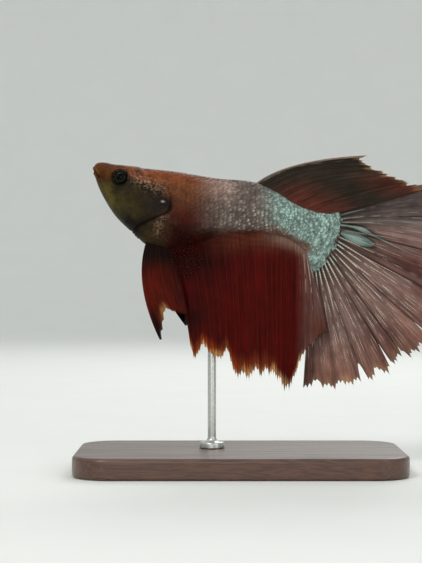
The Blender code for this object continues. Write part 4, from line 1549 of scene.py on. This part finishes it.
def wood_finish():
    """Dark stained wood, its grain along the base."""
    finish = Finish("stained_wood", Specular_IOR_Level=0.5, Coat_Weight=0.45, Coat_Roughness=0.22)
    place = finish.place()
    grain = place.stretched(0.05, 0.7, 0.7).noise(1.0, 5.0)
    pores = place.stretched(0.35, 6.0, 6.0).noise(1.0, 2.0)
    colour = finish.blend((grain * 60.0).sine().ramp(-1.0, 1.0), srgb(66, 41, 29), srgb(88, 56, 39))
    return finish.done(
        Base_Color=colour.laid(srgb(36, 22, 16), pores.ramp(0.62, 0.7, 0.0, 0.6)),
        Roughness=grain.ramp(0.3, 0.7, 0.36, 0.5),
        Normal=finish.relief((pores, 0.04, 0.5)),
    )


def steel_finish():
    """Turned and brushed steel."""
    finish = Finish("brushed_steel", Metallic=1.0)
    lines = finish.place().stretched(0.8, 0.8, 14.0).noise(1.0)
    return finish.done(
        Base_Color=finish.blend(lines, srgb(176, 176, 172), srgb(206, 206, 202)),
        Roughness=lines.ramp(0.3, 0.7, 0.24, 0.38),
        Normal=finish.relief((lines, 0.01, 0.5)),
    )


# ---------------------------------------------------------------- stand

BASE_SIZE = (62.0, 34.0, 4.0)
BASE_CORNER = 7.0
BASE_EDGE = 0.7  # how far its upper edge is rounded
BASE_LID = 1.6  # how far in its flat top and bottom begin
ROD_PLACE = np.array((22.4 + MOUTH_TIP[0], 2.2, 0.0))
ROD_RADIUS = 0.8
ROD_TOP = 48.8
FLANGE_RADIUS = 2.4
FLANGE_HEIGHT = 1.2
COVE = (1.65, 0.85, 0.95)  # the radius at its foot, and how far it runs in and up


def plate_ring(inset, height, steps=16):
    """The rounded outline of the base, drawn in by inset."""
    quarter = math.pi / 2 * np.arange(steps + 1) / steps
    angles = np.concatenate([quarter + math.pi / 2 * k for k in range(4)])
    reach_x, reach_y = (size / 2 - BASE_CORNER for size in BASE_SIZE[:2])
    corner_x = reach_x * np.repeat((1, -1, -1, 1), steps + 1)
    corner_y = reach_y * np.repeat((1, 1, -1, -1), steps + 1)
    x = corner_x + (BASE_CORNER - inset) * np.cos(angles)
    y = corner_y + (BASE_CORNER - inset) * np.sin(angles)
    return joined(x, y, height)


def base_rings():
    """The plate: a chamfer below, upright sides, and a rounded upper edge."""
    top = BASE_SIZE[2]
    low = [(BASE_LID, 0.0), (0.5, 0.0), (0.4, 0.02), (0.02, 0.4), (0.0, 0.5), (0.0, 0.6)]
    low += [(0.0, top - BASE_EDGE - 0.1)]
    turn = np.linspace(0, math.pi / 2, 7)
    edge = [(BASE_EDGE * (1 - math.cos(a)), top - BASE_EDGE * (1 - math.sin(a))) for a in turn]
    lid = [(BASE_EDGE + 0.1, top), (BASE_LID, top)]
    return np.stack([plate_ring(*place) for place in low + edge + lid])


def rod_profile():
    """The flange on the plate, the cove over it and the shaft up into the trunk."""
    low = BASE_SIZE[2]
    top = low + FLANGE_HEIGHT
    flange = [(1.8, low), (2.3, low), (FLANGE_RADIUS, low + 0.1), (FLANGE_RADIUS, low + 0.2)]
    flange += [(FLANGE_RADIUS, top - 0.3), (2.37, top - 0.12), (2.28, top - 0.03)]
    flange += [(2.15, top), (1.8, top)]
    foot, run, rise = COVE
    turn = np.linspace(math.pi / 2, 0, 7)
    cove = [(foot - run * math.cos(a), top + rise * (1 - math.sin(a))) for a in turn]
    shaft = [(ROD_RADIUS, top + 1.1), (ROD_RADIUS, ROD_TOP - 0.35)]
    tip = [(0.74, ROD_TOP - 0.15), (0.5, ROD_TOP)]
    return flange + cove + shaft + tip


def build_stand(wood, steel):
    """The wooden base and the steel rod."""
    for name, rings, finish, node, slot in (
        ("stand_base_plate", base_rings(), wood, "stand_base", "stand_wood"),
        ("stand_rod_turned", turned(rod_profile()) + ROD_PLACE, steel, "stand_rod", "stand_steel"),
    ):
        points, faces = stacked(rings - MOUTH_TIP)
        build_piece(name, points, faces, [finish], slot, (node,))


# ---------------------------------------------------------------- stage, in metres

BACKDROP_FLAT = 0.7  # the radius of its flat floor
BACKDROP_BEND = 0.4  # the radius with which it turns up
BACKDROP_TOP = 0.9
AIM = (0.004, 0.0, 0.035)
LIGHTS = (
    # name, place, size, watts, colour
    ("key", (-0.22, -0.34, 0.42), 0.18, 1.05, (1.0, 0.98, 0.95)),
    ("fill", (0.34, -0.36, 0.16), 0.34, 0.35, (0.95, 0.98, 1.0)),
    ("back", (0.12, 0.42, 0.36), 0.3, 0.8, (1.0, 1.0, 1.0)),
    ("low", (-0.05, -0.42, 0.03), 0.3, 0.28, (1.0, 1.0, 1.0)),
)
WORLD_COLOUR = (0.93, 0.96, 1.0, 1.0)
WORLD_STRENGTH = 0.85
CAMERA_PLACE = (-0.00547, -0.30, 0.03584)
FRAME_HEIGHT = 0.10697  # what the picture's height spans at the fish
CAMERA_SENSOR = 36.0


def build_backdrop():
    """A pale floor that curves up into a wall all round."""
    floor = [(0.0, 0.0), (0.3, 0.0), (BACKDROP_FLAT, 0.0)]
    curve = [
        (BACKDROP_FLAT + BACKDROP_BEND * math.sin(a), BACKDROP_BEND * (1 - math.cos(a)))
        for a in np.linspace(0.15, math.pi / 2, 10)
    ]
    wall = [(BACKDROP_FLAT + BACKDROP_BEND, BACKDROP_TOP)]
    rings = turned(floor + curve + wall, 96)
    faces = grid_faces(*rings.shape[:2], closed=True)
    mesh = bpy.data.meshes.new("backdrop")
    mesh.from_pydata(rings.reshape(-1, 3).tolist(), [], faces.tolist())
    finish = Finish("backdrop", Roughness=0.85)
    paint = finish.tint(srgb(226, 227, 222), finish.place().noise(0.04), 1.01, 0.99)
    mesh.materials.append(finish.done(Base_Color=paint))
    mesh.shade_smooth()
    backdrop = add_object("backdrop", mesh)


def light_scene():
    """Soft lamps round the fish, and a pale world."""
    for name, place, size, watts, colour in LIGHTS:
        data = bpy.data.lights.new(name, "AREA")
        data.shape = "DISK"
        data.size = size
        data.energy = watts
        data.color = colour
        light = add_object(name, data)
        light.location = place
        light.rotation_euler = (Vector(AIM) - Vector(place)).to_track_quat("-Z", "Y").to_euler()
    world = bpy.data.worlds.new("studio")
    world.use_nodes = True
    background = world.node_tree.nodes["Background"]
    background.inputs["Color"].default_value = WORLD_COLOUR
    background.inputs["Strength"].default_value = WORLD_STRENGTH
    bpy.context.scene.world = world
    bpy.context.scene.view_settings.view_transform = "Standard"


def add_camera():
    """The camera, level and square to the fish's left side."""
    data = bpy.data.cameras.new("camera")
    data.sensor_width = CAMERA_SENSOR
    data.lens = CAMERA_SENSOR * -CAMERA_PLACE[1] / FRAME_HEIGHT
    data.clip_start = 0.01
    camera = add_object("camera", data)
    camera.location = CAMERA_PLACE
    camera.rotation_euler = (math.radians(90), 0, 0)
    bpy.context.scene.camera = camera


# ---------------------------------------------------------------- the model

HEAD_RINGS = np.linspace(0.0, 16.0, 160)  # close together, for the head's relief
BODY_RINGS = np.linspace(16.25, BODY_LENGTH, 118)
ROUNDS = 111  # points from ridge to keel


def build_fish():
    """Skin, scales, fins and eyes."""
    surface = Surface(np.concatenate((HEAD_RINGS, BODY_RINGS)), ROUNDS)
    build_skin(surface, skin_finish())
    scale = scale_finish()
    build_scales(surface, scale)
    plain = [web_finish(), ray_finish()]
    thin = [thin_web_finish(), ray_finish("pectoral_ray", joints=0.0, gloss=0.015)]
    for number, fin in enumerate(all_fins()):
        build_fin(fin, thin if fin.name.startswith("pectoral") else plain, seed=30 + number)
        if fin.name == "caudal":
            build_granules(fin, scale)
    build_eyes(eye_finish(), cornea_finish())


add_camera()
light_scene()
build_backdrop()
build_fish()
build_stand(wood_finish(), steel_finish())
